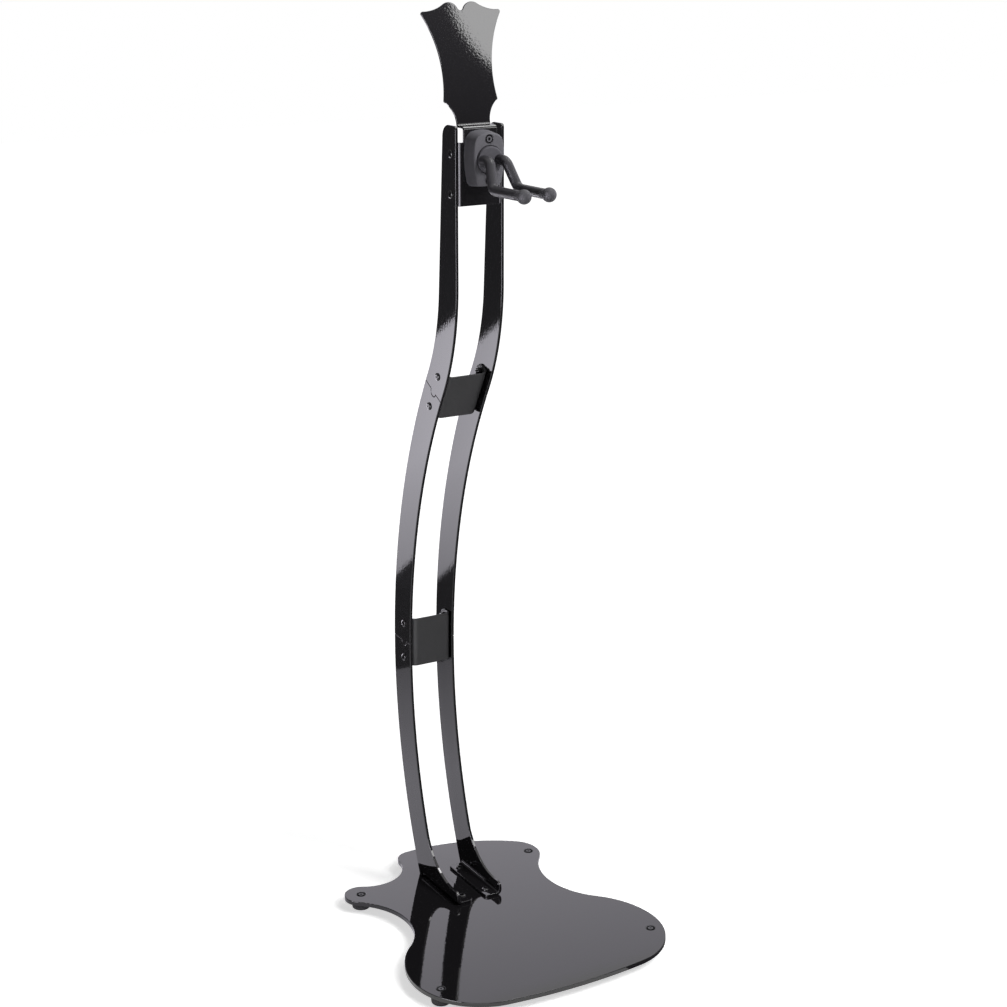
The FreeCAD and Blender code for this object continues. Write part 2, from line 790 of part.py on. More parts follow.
def splice_bracket(name, splice):
    """Channel with round corners that carries a splice, square to the rail there."""
    body = new_body(name + "_splice_bracket")
    wall, front = size("bracket_thickness"), splice.offset - size("bracket_web_distance")
    rear = front + size("bracket_depth")
    section = channel(front, size("bracket_depth"), wall, size("bracket_bend_radius"))
    sketch = new_sketch(body, "section", "XY_Plane", section)
    solid = pad(body, sketch, "Sizes.bracket_length", symmetric=True)
    round_edges(body, solid, "Sizes.bracket_corner_round",
                lambda edge: edge.BoundBox.YMin > rear - wall / 2 and edge.BoundBox.ZLength < wall / 2)
    drilled = [circle(splice.offset, side * size("screw_pitch") / 2, HOLE_RADIUS) for side in (-1, 1)]
    pocket(body, new_sketch(body, "holes", "YZ_Plane", drilled), "2 * Sizes.rail_spacing", symmetric=True)
    tilt = Rotation(Vector(1, 0, 0), math.degrees(math.atan2(splice.rearwards.y, splice.rearwards.x)))
    body.Placement = Placement(Vector(0, splice.origin.x, splice.origin.y), tilt)
    side_fasteners(name + "_splice", splice.screw_points(), "bracket_thickness")


CARRIER_FRONT = size("rail_front_y") - size("carrier_proud")
PIVOT_Z = RAIL_TOP - size("pivot_drop")
BLOCK_REACH = size("turret_diameter") / 2 + size("block_end_length")


def carrier_screw_points():
    low = RAIL_TOP - size("carrier_screw_drop")
    return [(size("carrier_screw_y"), z) for z in (low, low + size("screw_pitch"))]


def block_screw_heights():
    reach = BLOCK_REACH - size("block_screw_inset")
    return [PIVOT_Z - reach, PIVOT_Z + reach]


def headstock_carrier():
    """One bent sheet: a channel between the rails, a shelf above it and a tilted headstock panel."""
    wall, bend = size("carrier_thickness"), size("carrier_bend_radius")
    body = new_body("headstock_carrier")
    section = channel(CARRIER_FRONT, size("carrier_depth"), wall, bend)
    bottom = "Sizes.rail_top_z - Sizes.carrier_bottom_drop"
    pad(body, new_sketch(body, "channel", "XY_Plane", section, bottom),
        "Sizes.carrier_bottom_drop - Sizes.carrier_shoulder_drop")

    tilt = math.radians(size("head_tilt"))
    shelf, shoulder = RAIL_TOP - size("shelf_drop"), RAIL_TOP - size("carrier_shoulder_drop")
    upwards, rearwards = flat(math.sin(tilt), math.cos(tilt)), flat(math.cos(tilt), -math.sin(tilt))
    crease = flat(CARRIER_FRONT + size("shelf_depth"), shelf)
    fold = crease + upwards * (size("head_neck_height") + bend)
    back_fold = fold + rearwards * wall
    drop = (back_fold.y - (shelf - wall)) / upwards.y
    back_crease = back_fold - upwards * drop
    neck = rounded([
        (CARRIER_FRONT, shoulder, 0),
        (CARRIER_FRONT, shelf, bend + wall),
        (crease.x, crease.y, bend),
        (fold.x, fold.y, 0),
        (back_fold.x, back_fold.y, 0),
        (back_crease.x, back_crease.y, bend + wall),
        (CARRIER_FRONT + wall, shelf - wall, bend),
        (CARRIER_FRONT + wall, shoulder, 0),
    ])
    pad(body, new_sketch(body, "neck", "YZ_Plane", neck), "Sizes.neck_width", symmetric=True)

    half = size("neck_width") / 2
    corner = (size("head_corner_x"), size("head_corner_height"), size("head_corner_round"),
              "hollow", size("head_waist_radius"))
    tip = (size("head_tip_x"), size("head_tip_height"), size("head_tip_round"),
           "hollow", size("head_sweep_radius"))
    hump = (size("head_hump_x"), size("head_hump_height"), size("head_hump_radius"),
            "hollow", size("head_notch_radius"))
    outline = tangent_outline(mirrored_rounds([corner, tip, hump], ("line", 0)))[:-1]
    base = size("head_neck_height")
    for side in (1, -1):
        outline += head_flare(side, half, base)
    outline.append(line(flat(-half, base), flat(half, base)))
    panel = new_sketch(body, "panel", "XZ_Plane", outline)
    lean = Rotation(Vector(1, 0, 0), -size("head_tilt"))
    panel.AttachmentOffset = Placement(Vector(0, crease.y, -crease.x), lean)
    pad(body, panel, "Sizes.carrier_thickness", reverse=True)

    drilled = [circle(y, z, HOLE_RADIUS) for y, z in carrier_screw_points()]
    holes = new_sketch(body, "side_holes", "YZ_Plane", drilled)
    pocket(body, holes, "2 * Sizes.rail_spacing", symmetric=True)
    drilled = [circle(0, z, HOLE_RADIUS) for z in block_screw_heights()]
    front = "Sizes.carrier_proud - Sizes.rail_front_y"
    holes = new_sketch(body, "block_holes", "XZ_Plane", drilled, front)
    pocket(body, holes, "Sizes.carrier_thickness")
    points = [flat(y, z) for y, z in carrier_screw_points()]
    side_fasteners("carrier", points, "carrier_thickness")


def head_flare(side, half, base):
    """Hollow from the neck of the panel out to the lower corner, on one side."""
    start = flat(half, base)
    corner = flat(size("head_corner_x"), size("head_corner_height") - size("head_corner_round"))
    radius = size("head_flare_radius")
    centre = third_corner(start, radius, corner, radius, -1)
    middle = centre + ((start - centre) + (corner - centre)).normalize() * radius
    start, middle, corner = (flat(side * spot.x, spot.y) for spot in (start, middle, corner))
    return [Part.Arc(start, middle, corner)]


# Swivel and fork


BLOCK_FRONT = CARRIER_FRONT - size("block_depth")
PIVOT = Vector(0, BLOCK_FRONT, PIVOT_Z)
TURRET_FRONT = -size("turret_proud")
TURRET_REAR = size("turret_recess_depth") - size("axial_play")
STUB_END = size("block_depth") - size("retainer_recess_depth") + size("axial_play")


def yoke_block():
    """Shield-shaped housing with a recess for the turret in front and one for its retainer behind."""
    half = size("turret_diameter") / 2 + size("block_side_wall")
    low_half = size("block_bottom_width") / 2
    low_round, top_round = size("block_bottom_round"), size("block_top_round")
    arch, side = size("block_arch_radius"), size("block_side_radius")
    top_x = half - top_round
    arch_z = PIVOT_Z + BLOCK_REACH - arch
    top_z = arch_z + math.sqrt((arch - top_round) ** 2 - top_x ** 2)
    bottom = (low_half - low_round, PIVOT_Z - BLOCK_REACH + low_round, low_round, "bulge", side)
    top = (top_x, top_z, top_round, "bulge", arch)
    rear = "Sizes.carrier_proud - Sizes.rail_front_y"
    front = rear + " + Sizes.block_depth"
    body = new_body("yoke_block")
    outline = new_sketch(body, "outline", "XZ_Plane",
                         tangent_outline(mirrored_rounds([bottom, top], ("line", 0))), front)
    solid = pad(body, outline, "Sizes.block_depth", reverse=True, draft="Sizes.block_draft")
    round_edges(body, solid, "Sizes.block_edge_round",
                lambda edge: edge.BoundBox.YMax < BLOCK_FRONT + size("block_edge_round") / 2)
    bore = size("stub_diameter") / 2 + size("stub_clearance")
    recess = size("turret_diameter") / 2 + size("turret_clearance")
    for name, radius, depth, start, reverse in (
        ("bore", bore, "Sizes.block_depth", front, False),
        ("turret_recess", recess, "Sizes.turret_recess_depth", front, False),
        ("retainer_recess", size("retainer_recess_diameter") / 2, "Sizes.retainer_recess_depth", rear, True),
    ):
        sketch = new_sketch(body, name, "XZ_Plane", [circle(0, PIVOT.z, radius)], start)
        pocket(body, sketch, depth, reverse=reverse)
    seat = size("button_head_diameter") / 2 + size("block_counterbore_clearance")
    for name, radius, depth in (
        ("screw_holes", HOLE_RADIUS, "Sizes.block_depth"),
        ("screw_seats", seat, "Sizes.block_counterbore_depth"),
    ):
        drilled = [circle(0, z, radius) for z in block_screw_heights()]
        pocket(body, new_sketch(body, name, "XZ_Plane", drilled, front), depth)
    screw = button_screw("block_screw_master", "Sizes.block_depth - Sizes.block_counterbore_depth"
                         " + Sizes.carrier_thickness + Sizes.nut_height + Sizes.screw_end")
    forwards = Rotation(Vector(1, 0, 0), 90)
    for label, master, y in (
        ("yoke_block_screws", screw, BLOCK_FRONT + size("block_counterbore_depth")),
        ("yoke_block_nuts", nut, CARRIER_FRONT + size("carrier_thickness")),
    ):
        group(label, master, [Placement(Vector(0, y, z), forwards) for z in block_screw_heights()])


def yoke_turret():
    """Round swivel with a stub shaft behind, and two bores that are sunk behind for the rods' heads."""
    radius, stub = size("turret_diameter") / 2, size("stub_diameter") / 2
    thread = size("screw_diameter") / 2 + size("screw_clearance") / 2
    thread_end = STUB_END + size("retainer_thickness") - size("pivot_screw_length") - size("screw_end")
    body = new_body("yoke_turret")
    profile = rounded([
        (TURRET_FRONT, 0, 0),
        (TURRET_FRONT, radius, size("turret_edge_round")),
        (TURRET_REAR, radius, 0),
        (TURRET_REAR, stub, 0),
        (STUB_END, stub, 0),
        (STUB_END, thread, 0),
        (thread_end, thread, 0),
        (thread_end, 0, 0),
    ])
    revolve(body, new_sketch(body, "profile", "YZ_Plane", profile), "H_Axis")
    rear = "Sizes.turret_recess_depth - Sizes.axial_play"
    for name, radius, depth in (
        ("bores", size("rod_diameter") / 2 + size("swing_clearance"), rear + " + Sizes.turret_proud"),
        ("head_seats", size("rod_head_diameter") / 2 + size("rod_head_clearance"),
         "Sizes.rod_head_thickness + Sizes.rod_head_clearance"),
    ):
        drilled = [circle(side * size("prong_x"), size("prong_above_pivot"), radius) for side in (-1, 1)]
        pocket(body, new_sketch(body, name, "XZ_Plane", drilled, "-(%s)" % rear), depth, reverse=True)
    body.Placement = Placement(PIVOT, Rotation())


def turret_retainer():
    """Washer and screw that hold the stub shaft in the block from behind."""
    backwards = Rotation(Vector(1, 0, 0), -90)
    washer = ring("pivot_washer", "retainer_diameter", "retainer_thickness", node=True)
    screw = button_screw("pivot_screw", "Sizes.pivot_screw_length", node=True)
    seat = PIVOT + Vector(0, STUB_END + size("retainer_thickness"), 0)
    washer.Placement = Placement(seat, backwards)
    screw.Placement = Placement(seat, backwards)


def prong_path(start, end_back):
    """Corners of a prong in its own plane, from the turret's front to short of the ball's centre."""
    lead, reach, drop = size("prong_lead"), size("prong_reach"), size("prong_drop")
    rise, run = math.radians(size("prong_rise")), size("prong_run") - end_back
    bend = size("prong_bend_radius")
    return [
        (start, 0, 0),
        (-lead, 0, bend),
        (-lead - reach, -drop, bend),
        (-lead - reach - run * math.cos(rise), -drop + run * math.sin(rise), 0),
    ]


def prong_placement(side):
    root = PIVOT + Vector(side * size("prong_x"), TURRET_FRONT, size("prong_above_pivot"))
    return Placement(root, Rotation(Vector(0, 1, 0), -side * size("prong_splay")))


def prong_tube(label, side, circles, start, end_back):
    """Round bar or tube along a prong, from a point behind (+) or on the turret's front."""
    body = new_body(label)
    route = new_sketch(body, "route", "YZ_Plane", rounded(prong_path(start, end_back), closed=False))
    section = new_sketch(body, "section", "XZ_Plane", circles)
    section.AttachmentOffset = Placement(Vector(0, 0, -start), Rotation())
    doc.recompute()
    pipe = body.newObject("PartDesign::AdditivePipe", label + "_pipe")
    pipe.Profile = section
    pipe.Spine = (route, ["Edge%d" % (index + 1) for index in range(len(route.Shape.Edges))])
    doc.recompute()
    body.Placement = prong_placement(side)
    return body


def prong(name, side):
    """Headed steel rod that swings in the turret, with a soft sleeve and a ball ended cap."""
    rod = size("rod_diameter") / 2
    bore = rod + size("rod_clearance")
    sleeve, ball = size("sleeve_diameter") / 2, size("ball_diameter") / 2
    cap_back = size("cap_length")
    play = size("swing_play")
    head = TURRET_REAR - TURRET_FRONT - size("rod_head_thickness") - size("rod_head_clearance") + play
    steel = prong_tube(name + "_prong_rod", side, [circle(0, 0, rod)], head, size("rod_clearance"))
    rim = new_sketch(steel, "head", "XZ_Plane", [circle(0, 0, size("rod_head_diameter") / 2)])
    rim.AttachmentOffset = Placement(Vector(0, 0, -head), Rotation())
    pad(steel, rim, "Sizes.rod_head_thickness", reverse=True)
    prong_tube(name + "_prong_sleeve", side, [circle(0, 0, sleeve), circle(0, 0, bore)], -play, cap_back)

    neck_meets_ball = math.sqrt(ball ** 2 - sleeve ** 2)
    seam_y, seam_z = cap_back - size("cap_seam_width"), sleeve - size("cap_seam_depth")
    body = new_body(name + "_prong_cap")
    profile = [
        line(flat(0, 0), flat(-ball, 0)),
        Part.Arc(flat(-ball, 0), flat(0, ball), flat(neck_meets_ball, sleeve)),
    ]
    profile += rounded([
        (neck_meets_ball, sleeve, 0),
        (seam_y, sleeve, 0),
        (seam_y, seam_z, 0),
        (cap_back, seam_z, 0),
        (cap_back, bore, 0),
        (0, bore, 0),
        (0, 0, 0),
    ], closed=False)
    revolve(body, new_sketch(body, "profile", "YZ_Plane", profile), "H_Axis")
    y, z, radius = prong_path(0, 0)[-1]
    end = Placement(Vector(0, y, z), Rotation(Vector(1, 0, 0), -size("prong_rise")))
    body.Placement = prong_placement(side).multiply(end)


def build():
    base_plate()
    for place_name in FOOT_PLACES:
        foot(place_name)
    foot_fasteners()
    for side in ("left", "right"):
        lower_rail(side)
        middle_rail(side)
        upper_rail(side)
    rail_foot_fasteners()
    splice_bracket("lower", LOWER)
    splice_bracket("upper", UPPER)
    headstock_carrier()
    yoke_block()
    yoke_turret()
    turret_retainer()
    prong("left", -1)
    prong("right", 1)
    doc.recompute()


def check():
    """Stop if a feature failed or a piece isn't a sound solid."""
    failed = [item.Name for item in doc.Objects if {"Invalid", "Error"} & set(item.State)]
    failed += [node.Label for node in nodes if node.Shape.isNull() or not node.Shape.isValid()]
    failed += [node.Label for node in nodes if not node.Shape.Solids]
    if failed:
        raise RuntimeError("failed: " + ", ".join(failed))


def write():
    os.makedirs("parts", exist_ok=True)
    for node in nodes:
        node.Shape.exportStep("parts/%s.step" % node.Label)
    print("%d nodes written" % len(nodes))


build()
check()
write()
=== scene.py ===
"""Guitar stand: finishes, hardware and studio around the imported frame.

Metres, in the frame of the stand: X across it, -Y to the front, +Z up, and the floor at z = 0.
"""
import math

import bmesh
import bpy
import numpy as np
from bpy.props import FloatProperty, FloatVectorProperty, PointerProperty
from mathutils import Matrix, Vector


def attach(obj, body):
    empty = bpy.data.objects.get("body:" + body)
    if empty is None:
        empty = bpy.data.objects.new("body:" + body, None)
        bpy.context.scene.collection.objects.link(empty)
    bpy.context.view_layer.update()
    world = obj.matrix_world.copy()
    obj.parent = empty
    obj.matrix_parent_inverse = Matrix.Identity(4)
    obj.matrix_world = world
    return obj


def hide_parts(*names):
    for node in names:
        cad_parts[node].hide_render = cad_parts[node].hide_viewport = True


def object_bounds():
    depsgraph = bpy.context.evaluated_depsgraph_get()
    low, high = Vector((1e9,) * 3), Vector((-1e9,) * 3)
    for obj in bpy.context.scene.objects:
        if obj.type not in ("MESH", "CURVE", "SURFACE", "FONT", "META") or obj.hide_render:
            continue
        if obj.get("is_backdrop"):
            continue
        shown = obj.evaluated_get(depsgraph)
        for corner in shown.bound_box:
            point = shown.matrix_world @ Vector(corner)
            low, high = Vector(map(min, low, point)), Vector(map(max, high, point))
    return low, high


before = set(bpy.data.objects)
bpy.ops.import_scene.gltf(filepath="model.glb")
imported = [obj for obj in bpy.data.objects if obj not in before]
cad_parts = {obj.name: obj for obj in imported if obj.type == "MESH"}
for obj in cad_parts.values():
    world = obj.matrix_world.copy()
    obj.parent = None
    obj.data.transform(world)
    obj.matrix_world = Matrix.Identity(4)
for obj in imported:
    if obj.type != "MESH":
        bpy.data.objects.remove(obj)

bl_info = {
    "name": "Guitar Stand",
    "version": (1, 0, 0),
    "blender": (4, 5, 0),
    "location": "3D View > Sidebar > Guitar Stand",
    "description": "Finishes, hardware and studio of a steel guitar stand",
    "category": "Object",
}

CAD_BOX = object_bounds()
MM = 0.001

SIDES = ("left", "right")
RAILS = [f"{side}_{part}_rail" for side in SIDES for part in ("lower", "middle", "upper")]
BRACKETS = ["lower_splice_bracket", "upper_splice_bracket"]
RODS = [f"{side}_prong_rod" for side in SIDES]
FEET = [f"foot_{end}_{side}" for end in ("front", "rear") for side in SIDES]

# Each row is the side of the stand that fasteners are on, and the way that their heads face.
OUTWARD = (((-1, 0, 0), (-1, 0, 0)), ((1, 0, 0), (1, 0, 0)))
UPWARD = (((0, 0, 1), (0, 0, 1)),)
FORWARD = (((0, 1, 0), (0, -1, 0)),)
BOLTED = {
    "rail_foot": UPWARD,
    "lower_splice": OUTWARD,
    "upper_splice": OUTWARD,
    "carrier": OUTWARD,
}
PLAIN_HARDWARE = ["foot_washers", "pivot_washer", "pivot_screw"]


def linear(code):
    """Linear RGB of an sRGB hex colour."""
    channels = np.array([int(code[place:place + 2], 16) for place in (1, 3, 5)]) / 255
    return tuple(np.where(channels <= 0.04045, channels / 12.92, ((channels + 0.055) / 1.055) ** 2.4))


def opaque(colour):
    """Colour with full alpha."""
    return (*colour, 1.0)


# Sizes and colours that a user would change


def colour(name, description, code):
    """Property that holds an sRGB hex colour."""
    return FloatVectorProperty(name=name, description=description, default=linear(code), subtype="COLOR",
                               size=3, min=0.0, max=1.0)


def length(name, description, metres):
    """Property that holds a length."""
    return FloatProperty(name=name, description=description, default=metres, subtype="DISTANCE",
                         unit="LENGTH", precision=6)


def angle(name, description, degrees):
    """Property that holds an angle."""
    return FloatProperty(name=name, description=description, default=math.radians(degrees),
                         subtype="ANGLE", unit="ROTATION")


def share(name, description, value):
    """Property that holds a share of one."""
    return FloatProperty(name=name, description=description, default=value, subtype="FACTOR", min=0.0,
                         soft_max=1.0)


class StandHardware(bpy.types.PropertyGroup):
    """Sizes of the cut edges, screws and nuts"""

    edge_round: length("Cut edges", "Rounding of the edges of the sheet steel", 0.7 * MM)
    grip_round: length("Grip ends", "Rounding of the ends of the prongs' sleeves and caps", 0.5 * MM)
    shank: length("Shank", "Diameter of the screws over their threads", 6.0 * MM)
    pitch: length("Pitch", "Distance between turns of the thread", 1.0 * MM)
    thread_depth: length("Thread depth", "Depth of the thread", 0.5 * MM)
    head_height: length("Head height", "Height of a button head", 1.9 * MM)
    head_rim: length("Head rim", "Height of a button head's upright rim", 0.5 * MM)
    head_flat: length("Head flat", "Diameter of the flat round the socket", 6.2 * MM)
    socket: length("Socket", "Width across flats of the hexagon socket", 2.5 * MM)
    socket_depth: length("Socket depth", "Depth of the hexagon socket", 1.6 * MM)
    foot_cup: length("Foot screw cup", "Diameter of the cup round a foot screw's head", 13.6 * MM)
    block_cup: length("Block screw cup", "Diameter of the cup round a block screw's head", 12.0 * MM)
    block_socket: length("Block screw socket", "Width across flats of a block screw's socket", 3.8 * MM)
    cup_lip: length("Cup lip", "Width and height of a cup's round lip", 0.6 * MM)
    cup_depth: length("Cup depth", "Depth of the groove between a head and its cup", 1.5 * MM)
    cup_head: length("Flat head", "Diameter of the flat heads in the cups", 7.7 * MM)


class StandFinish(bpy.types.PropertyGroup):
    """Colours and grain of the stand's finishes"""

    # The real grain of powder, plating, nylon, vinyl and rubber is finer than a pixel, so each is drawn as
    # coarse as it needs to be to show.
    enamel: colour("Enamel", "Black under the gloss of the painted steel", "#171618")
    enamel_rough: share("Enamel roughness", "Blur of reflections in the enamel", 0.03)
    enamel_ior: FloatProperty(name="Enamel IOR", description="Refractive index of the enamel",
                              default=1.6)
    peel_spacing: length("Orange peel", "Spacing of the ripples in the enamel", 2.8 * MM)
    peel_height: length("Orange peel height", "Height of the ripples in the enamel", 0.016 * MM)
    powder: colour("Powder coat", "Satin black of the splice brackets", "#383839")
    powder_grain: length("Powder grain", "Spacing of the grain of the powder coat", 1.2 * MM)
    powder_height: length("Powder grain height", "Height of the grain of the powder coat", 0.05 * MM)
    zinc: colour("Black zinc", "Near black of the bolts and nuts", "#161617")
    oxide: colour("Black oxide", "Dark metal of the foot nuts, washers and pivot screw", "#646466")
    # Black of the screws, deepened as painted shade in their cups, grooves and sockets
    black: colour("Matte black", "Black of the cups and sockets of the foot and block screws", "#0a0a0b")
    # Grey as a painted highlight and reflection on the flats and lips of the screw heads
    highlight_grey: colour("Highlighted black", "Grey of the worn heads of the foot and block screws", "#66656a")
    bloom: length("Plating bloom", "Spacing of the clouds in the plating and oxide", 1.5 * MM)
    rub: length("Rub marks", "Spacing of the clouds in worn oxide and drawn bar", 0.8 * MM)
    nylon: colour("Block nylon", "Dark grey of the moulded block", "#67666b")
    turret_nylon: colour("Turret nylon", "Darker grey of the moulded turret", "#58575c")
    nylon_grain: length("Nylon grain", "Spacing of the eroded grain of the mould", 0.9 * MM)
    nylon_height: length("Nylon grain height", "Height of the eroded grain of the mould", 0.06 * MM)
    sleeve: colour("Sleeve vinyl", "Dark grey of the prongs' sleeves", "#2d2c30")
    cap: colour("Cap rubber", "Dark grey of the prongs' ball ends", "#464549")
    grip_grain: length("Grip grain", "Spacing of the grain in the sleeves and caps", 1.3 * MM)
    sleeve_height: length("Sleeve grain height", "Height of the grain in the sleeves", 0.05 * MM)
    cap_height: length("Cap grain height", "Height of the grain in the caps", 0.1 * MM)
    foot: colour("Foot rubber", "Black of the feet", "#1b1b1c")
    foot_grain: length("Foot grain", "Spacing of the grain of the feet", 1.0 * MM)
    foot_height: length("Foot grain height", "Height of the grain of the feet", 0.06 * MM)
    steel: colour("Drawn steel", "Bare metal of the prong rods", "#b9b9bb")


class StandStudio(bpy.types.PropertyGroup):
    """Camera, lamps and cards of the studio"""

    camera_place: FloatVectorProperty(name="Camera", description="Where the camera stands", unit="LENGTH",
                                      subtype="TRANSLATION", default=(-1.31834, -2.31264, 1.43162))
    camera_turn: angle("Turn", "Turn of the camera about the vertical", -29.976)
    camera_pitch: angle("Pitch", "How far the camera looks down", 16.873)
    camera_roll: angle("Roll", "Roll of the camera", 0.054)
    camera_lens: FloatProperty(name="Lens", description="Focal length on a 36 mm sensor", unit="CAMERA",
                               default=74.57)
    fill: share("Fill", "Brightness of the room for matte surfaces", 0.1)
    floor: colour("Floor", "Colour of the floor", "#f2f2f2")
    floor_glow: share("Floor glow", "White that the floor adds to its own lit colour", 0.6)
    card: colour("Cards", "Cool white of the cards that the gloss mirrors", "#f8f5ff")


# Nodes of the materials


def add(tree, kind, values=None, links=None):
    """Add a node: values set its inputs or settings by name, and links feed its inputs from sockets."""
    node = tree.nodes.new(kind)
    for name, value in (values or {}).items():
        if name in node.inputs:
            node.inputs[name].default_value = value
        else:
            setattr(node, name, value)
    for name, socket in (links or {}).items():
        tree.links.new(socket, node.inputs[name])
    return node


def new_material(name):
    """Empty node material and its tree."""
    material = bpy.data.materials.new(name)
    material.use_nodes = True
    material.node_tree.nodes.clear()
    return material, material.node_tree


def show(tree, shader):
    """Make a shader the surface of its material."""
    add(tree, "ShaderNodeOutputMaterial", links={"Surface": shader})


ENAMEL = "gloss_black_enamel"


def gloss_enamel(finish):
    """Baked black enamel: nearly black, with a glassy skin whose fine orange peel frays reflected edges.

    The plate, the rails and the carrier share it.
    """
    if ENAMEL in bpy.data.materials:
        return bpy.data.materials[ENAMEL]
    material, tree = new_material(ENAMEL)
    place = add(tree, "ShaderNodeTexCoord").outputs["Object"]
    peel = add(tree, "ShaderNodeTexNoise", {"Scale": 1 / finish.peel_spacing, "Detail": 1.0},
               {"Vector": place})
    skin = add(tree, "ShaderNodeBump", {"Distance": finish.peel_height}, {"Height": peel.outputs["Fac"]})
    shader = add(tree, "ShaderNodeBsdfPrincipled",
                 {"Base Color": opaque(finish.enamel), "Roughness": finish.enamel_rough,
                  "IOR": finish.enamel_ior},
                 {"Normal": skin.outputs["Normal"]})
    show(tree, shader.outputs["BSDF"])
    return material


def satin_powder(finish):
    """Satin powder coat on bent steel: an even dark grey with a pebbled grain that spreads the light."""
    material, tree = new_material("satin_powder_coat")
    place = add(tree, "ShaderNodeTexCoord").outputs["Object"]
    grain = add(tree, "ShaderNodeTexNoise", {"Scale": 1 / finish.powder_grain, "Detail": 3.0},
                {"Vector": place})
    skin = add(tree, "ShaderNodeBump", {"Distance": finish.powder_height},
               {"Height": grain.outputs["Fac"]})
    shader = add(tree, "ShaderNodeBsdfPrincipled",
                 {"Base Color": opaque(finish.powder), "Roughness": 0.45},
                 {"Normal": skin.outputs["Normal"]})
    show(tree, shader.outputs["BSDF"])
    return material


def black_zinc(finish):
    """Black zinc under a clear sealer: near black, with a wet gloss that varies over each bolt."""
    material, tree = new_material("black_zinc_plate")
    place = add(tree, "ShaderNodeTexCoord").outputs["Object"]
    bloom = add(tree, "ShaderNodeTexNoise", {"Scale": 1 / finish.bloom, "Detail": 2.0}, {"Vector": place})
    blur = add(tree, "ShaderNodeMapRange", {"To Min": 0.04, "To Max": 0.1},
               {"Value": bloom.outputs["Fac"]})
    shader = add(tree, "ShaderNodeBsdfPrincipled", {"Base Color": opaque(finish.zinc), "IOR": 1.6},
                 {"Roughness": blur.outputs["Result"]})
    show(tree, shader.outputs["BSDF"])
    return material


def black_oxide(finish):
    """Black oxide on steel: a dark metal with a dull, slightly cloudy blur."""
    material, tree = new_material("black_oxide_steel")
    place = add(tree, "ShaderNodeTexCoord").outputs["Object"]
    cloud = add(tree, "ShaderNodeTexNoise", {"Scale": 1 / finish.bloom, "Detail": 2.0}, {"Vector": place})
    blur = add(tree, "ShaderNodeMapRange", {"To Min": 0.25, "To Max": 0.45},
               {"Value": cloud.outputs["Fac"]})
    shader = add(tree, "ShaderNodeBsdfPrincipled", {"Base Color": opaque(finish.oxide), "Metallic": 1.0},
                 {"Roughness": blur.outputs["Result"]})
    show(tree, shader.outputs["BSDF"])
    return material


def painted_light_oxide(finish):
    """Black oxide on screw heads: cloudy matte black, with a painted grey highlight on the flats and lips.
    """
    material, tree = new_material("black_oxide_painted_light")
    place = add(tree, "ShaderNodeTexCoord").outputs["Object"]
    cloud = add(tree, "ShaderNodeTexNoise", {"Scale": 1 / finish.rub, "Detail": 3.0}, {"Vector": place})
    blur = add(tree, "ShaderNodeMapRange", {"To Min": 0.45, "To Max": 0.65},
               {"Value": cloud.outputs["Fac"]})
    # 1 where the grey highlight is painted, 0 where black is left as painted shade in cups and sockets
    painted_highlight = add(tree, "ShaderNodeAttribute", {"attribute_name": "painted_highlight"})
    tint = add(tree, "ShaderNodeMix",
               {"data_type": "RGBA", "A": opaque(finish.black), "B": opaque(finish.highlight_grey)})
    tree.links.new(painted_highlight.outputs["Fac"], tint.inputs["Factor"])
    shader = add(tree, "ShaderNodeBsdfPrincipled", {"IOR": 1.3},
                 {"Base Color": tint.outputs["Result"], "Roughness": blur.outputs["Result"]})
    show(tree, shader.outputs["BSDF"])
    return material


GRAIN_TINT = 0.2


def grained(name, base, rough, spacing, height, ior=1.5):
    """Matte moulded skin: an even grain that darkens, lightens and roughens one colour."""
    material, tree = new_material(name)
    place = add(tree, "ShaderNodeTexCoord").outputs["Object"]
    grain = add(tree, "ShaderNodeTexNoise", {"Scale": 1 / spacing, "Detail": 3.0}, {"Vector": place})
    tint = add(tree, "ShaderNodeMix",
               {"data_type": "RGBA", "A": opaque(np.multiply(base, 1 - GRAIN_TINT)),
                "B": opaque(np.multiply(base, 1 + GRAIN_TINT))})
    tree.links.new(grain.outputs["Fac"], tint.inputs["Factor"])
    skin = add(tree, "ShaderNodeBump", {"Distance": height}, {"Height": grain.outputs["Fac"]})
    shader = add(tree, "ShaderNodeBsdfPrincipled", {"Roughness": rough, "IOR": ior},
                 {"Base Color": tint.outputs["Result"], "Normal": skin.outputs["Normal"]})
    show(tree, shader.outputs["BSDF"])
    return material


def drawn_steel(finish):
    """Bright drawn bar: bare metal with a slight blur."""
    material, tree = new_material("drawn_steel")
    place = add(tree, "ShaderNodeTexCoord").outputs["Object"]
    lines = add(tree, "ShaderNodeTexNoise", {"Scale": 1 / finish.rub}, {"Vector": place})
    blur = add(tree, "ShaderNodeMapRange", {"To Min": 0.2, "To Max": 0.35},
               {"Value": lines.outputs["Fac"]})
    shader = add(tree, "ShaderNodeBsdfPrincipled", {"Base Color": opaque(finish.steel), "Metallic": 1.0},
                 {"Roughness": blur.outputs["Result"]})
    show(tree, shader.outputs["BSDF"])
    return material


def dress(names, material):
    """Give CAD nodes a finish."""
    for name in names:
        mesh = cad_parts[name].data
        mesh.materials.clear()
        mesh.materials.append(material)


# Shapes


def stand_for(node, name, mesh, material, body="stand"):
    """Show a mesh in place of a CAD node."""
    mesh.materials.clear()
    mesh.materials.append(material)
    piece = bpy.data.objects.new(name, mesh)
    bpy.context.scene.collection.objects.link(piece)
    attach(piece, body)
    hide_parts(node)
    return piece


# Faces that turn by more than SHARP meet at an edge, and those that turn by less than FLAT are one flat.
SHARP = math.radians(35)
FLAT = math.radians(0.05)
MERGED = 0.001 * MM
ROUND_STEPS = 2


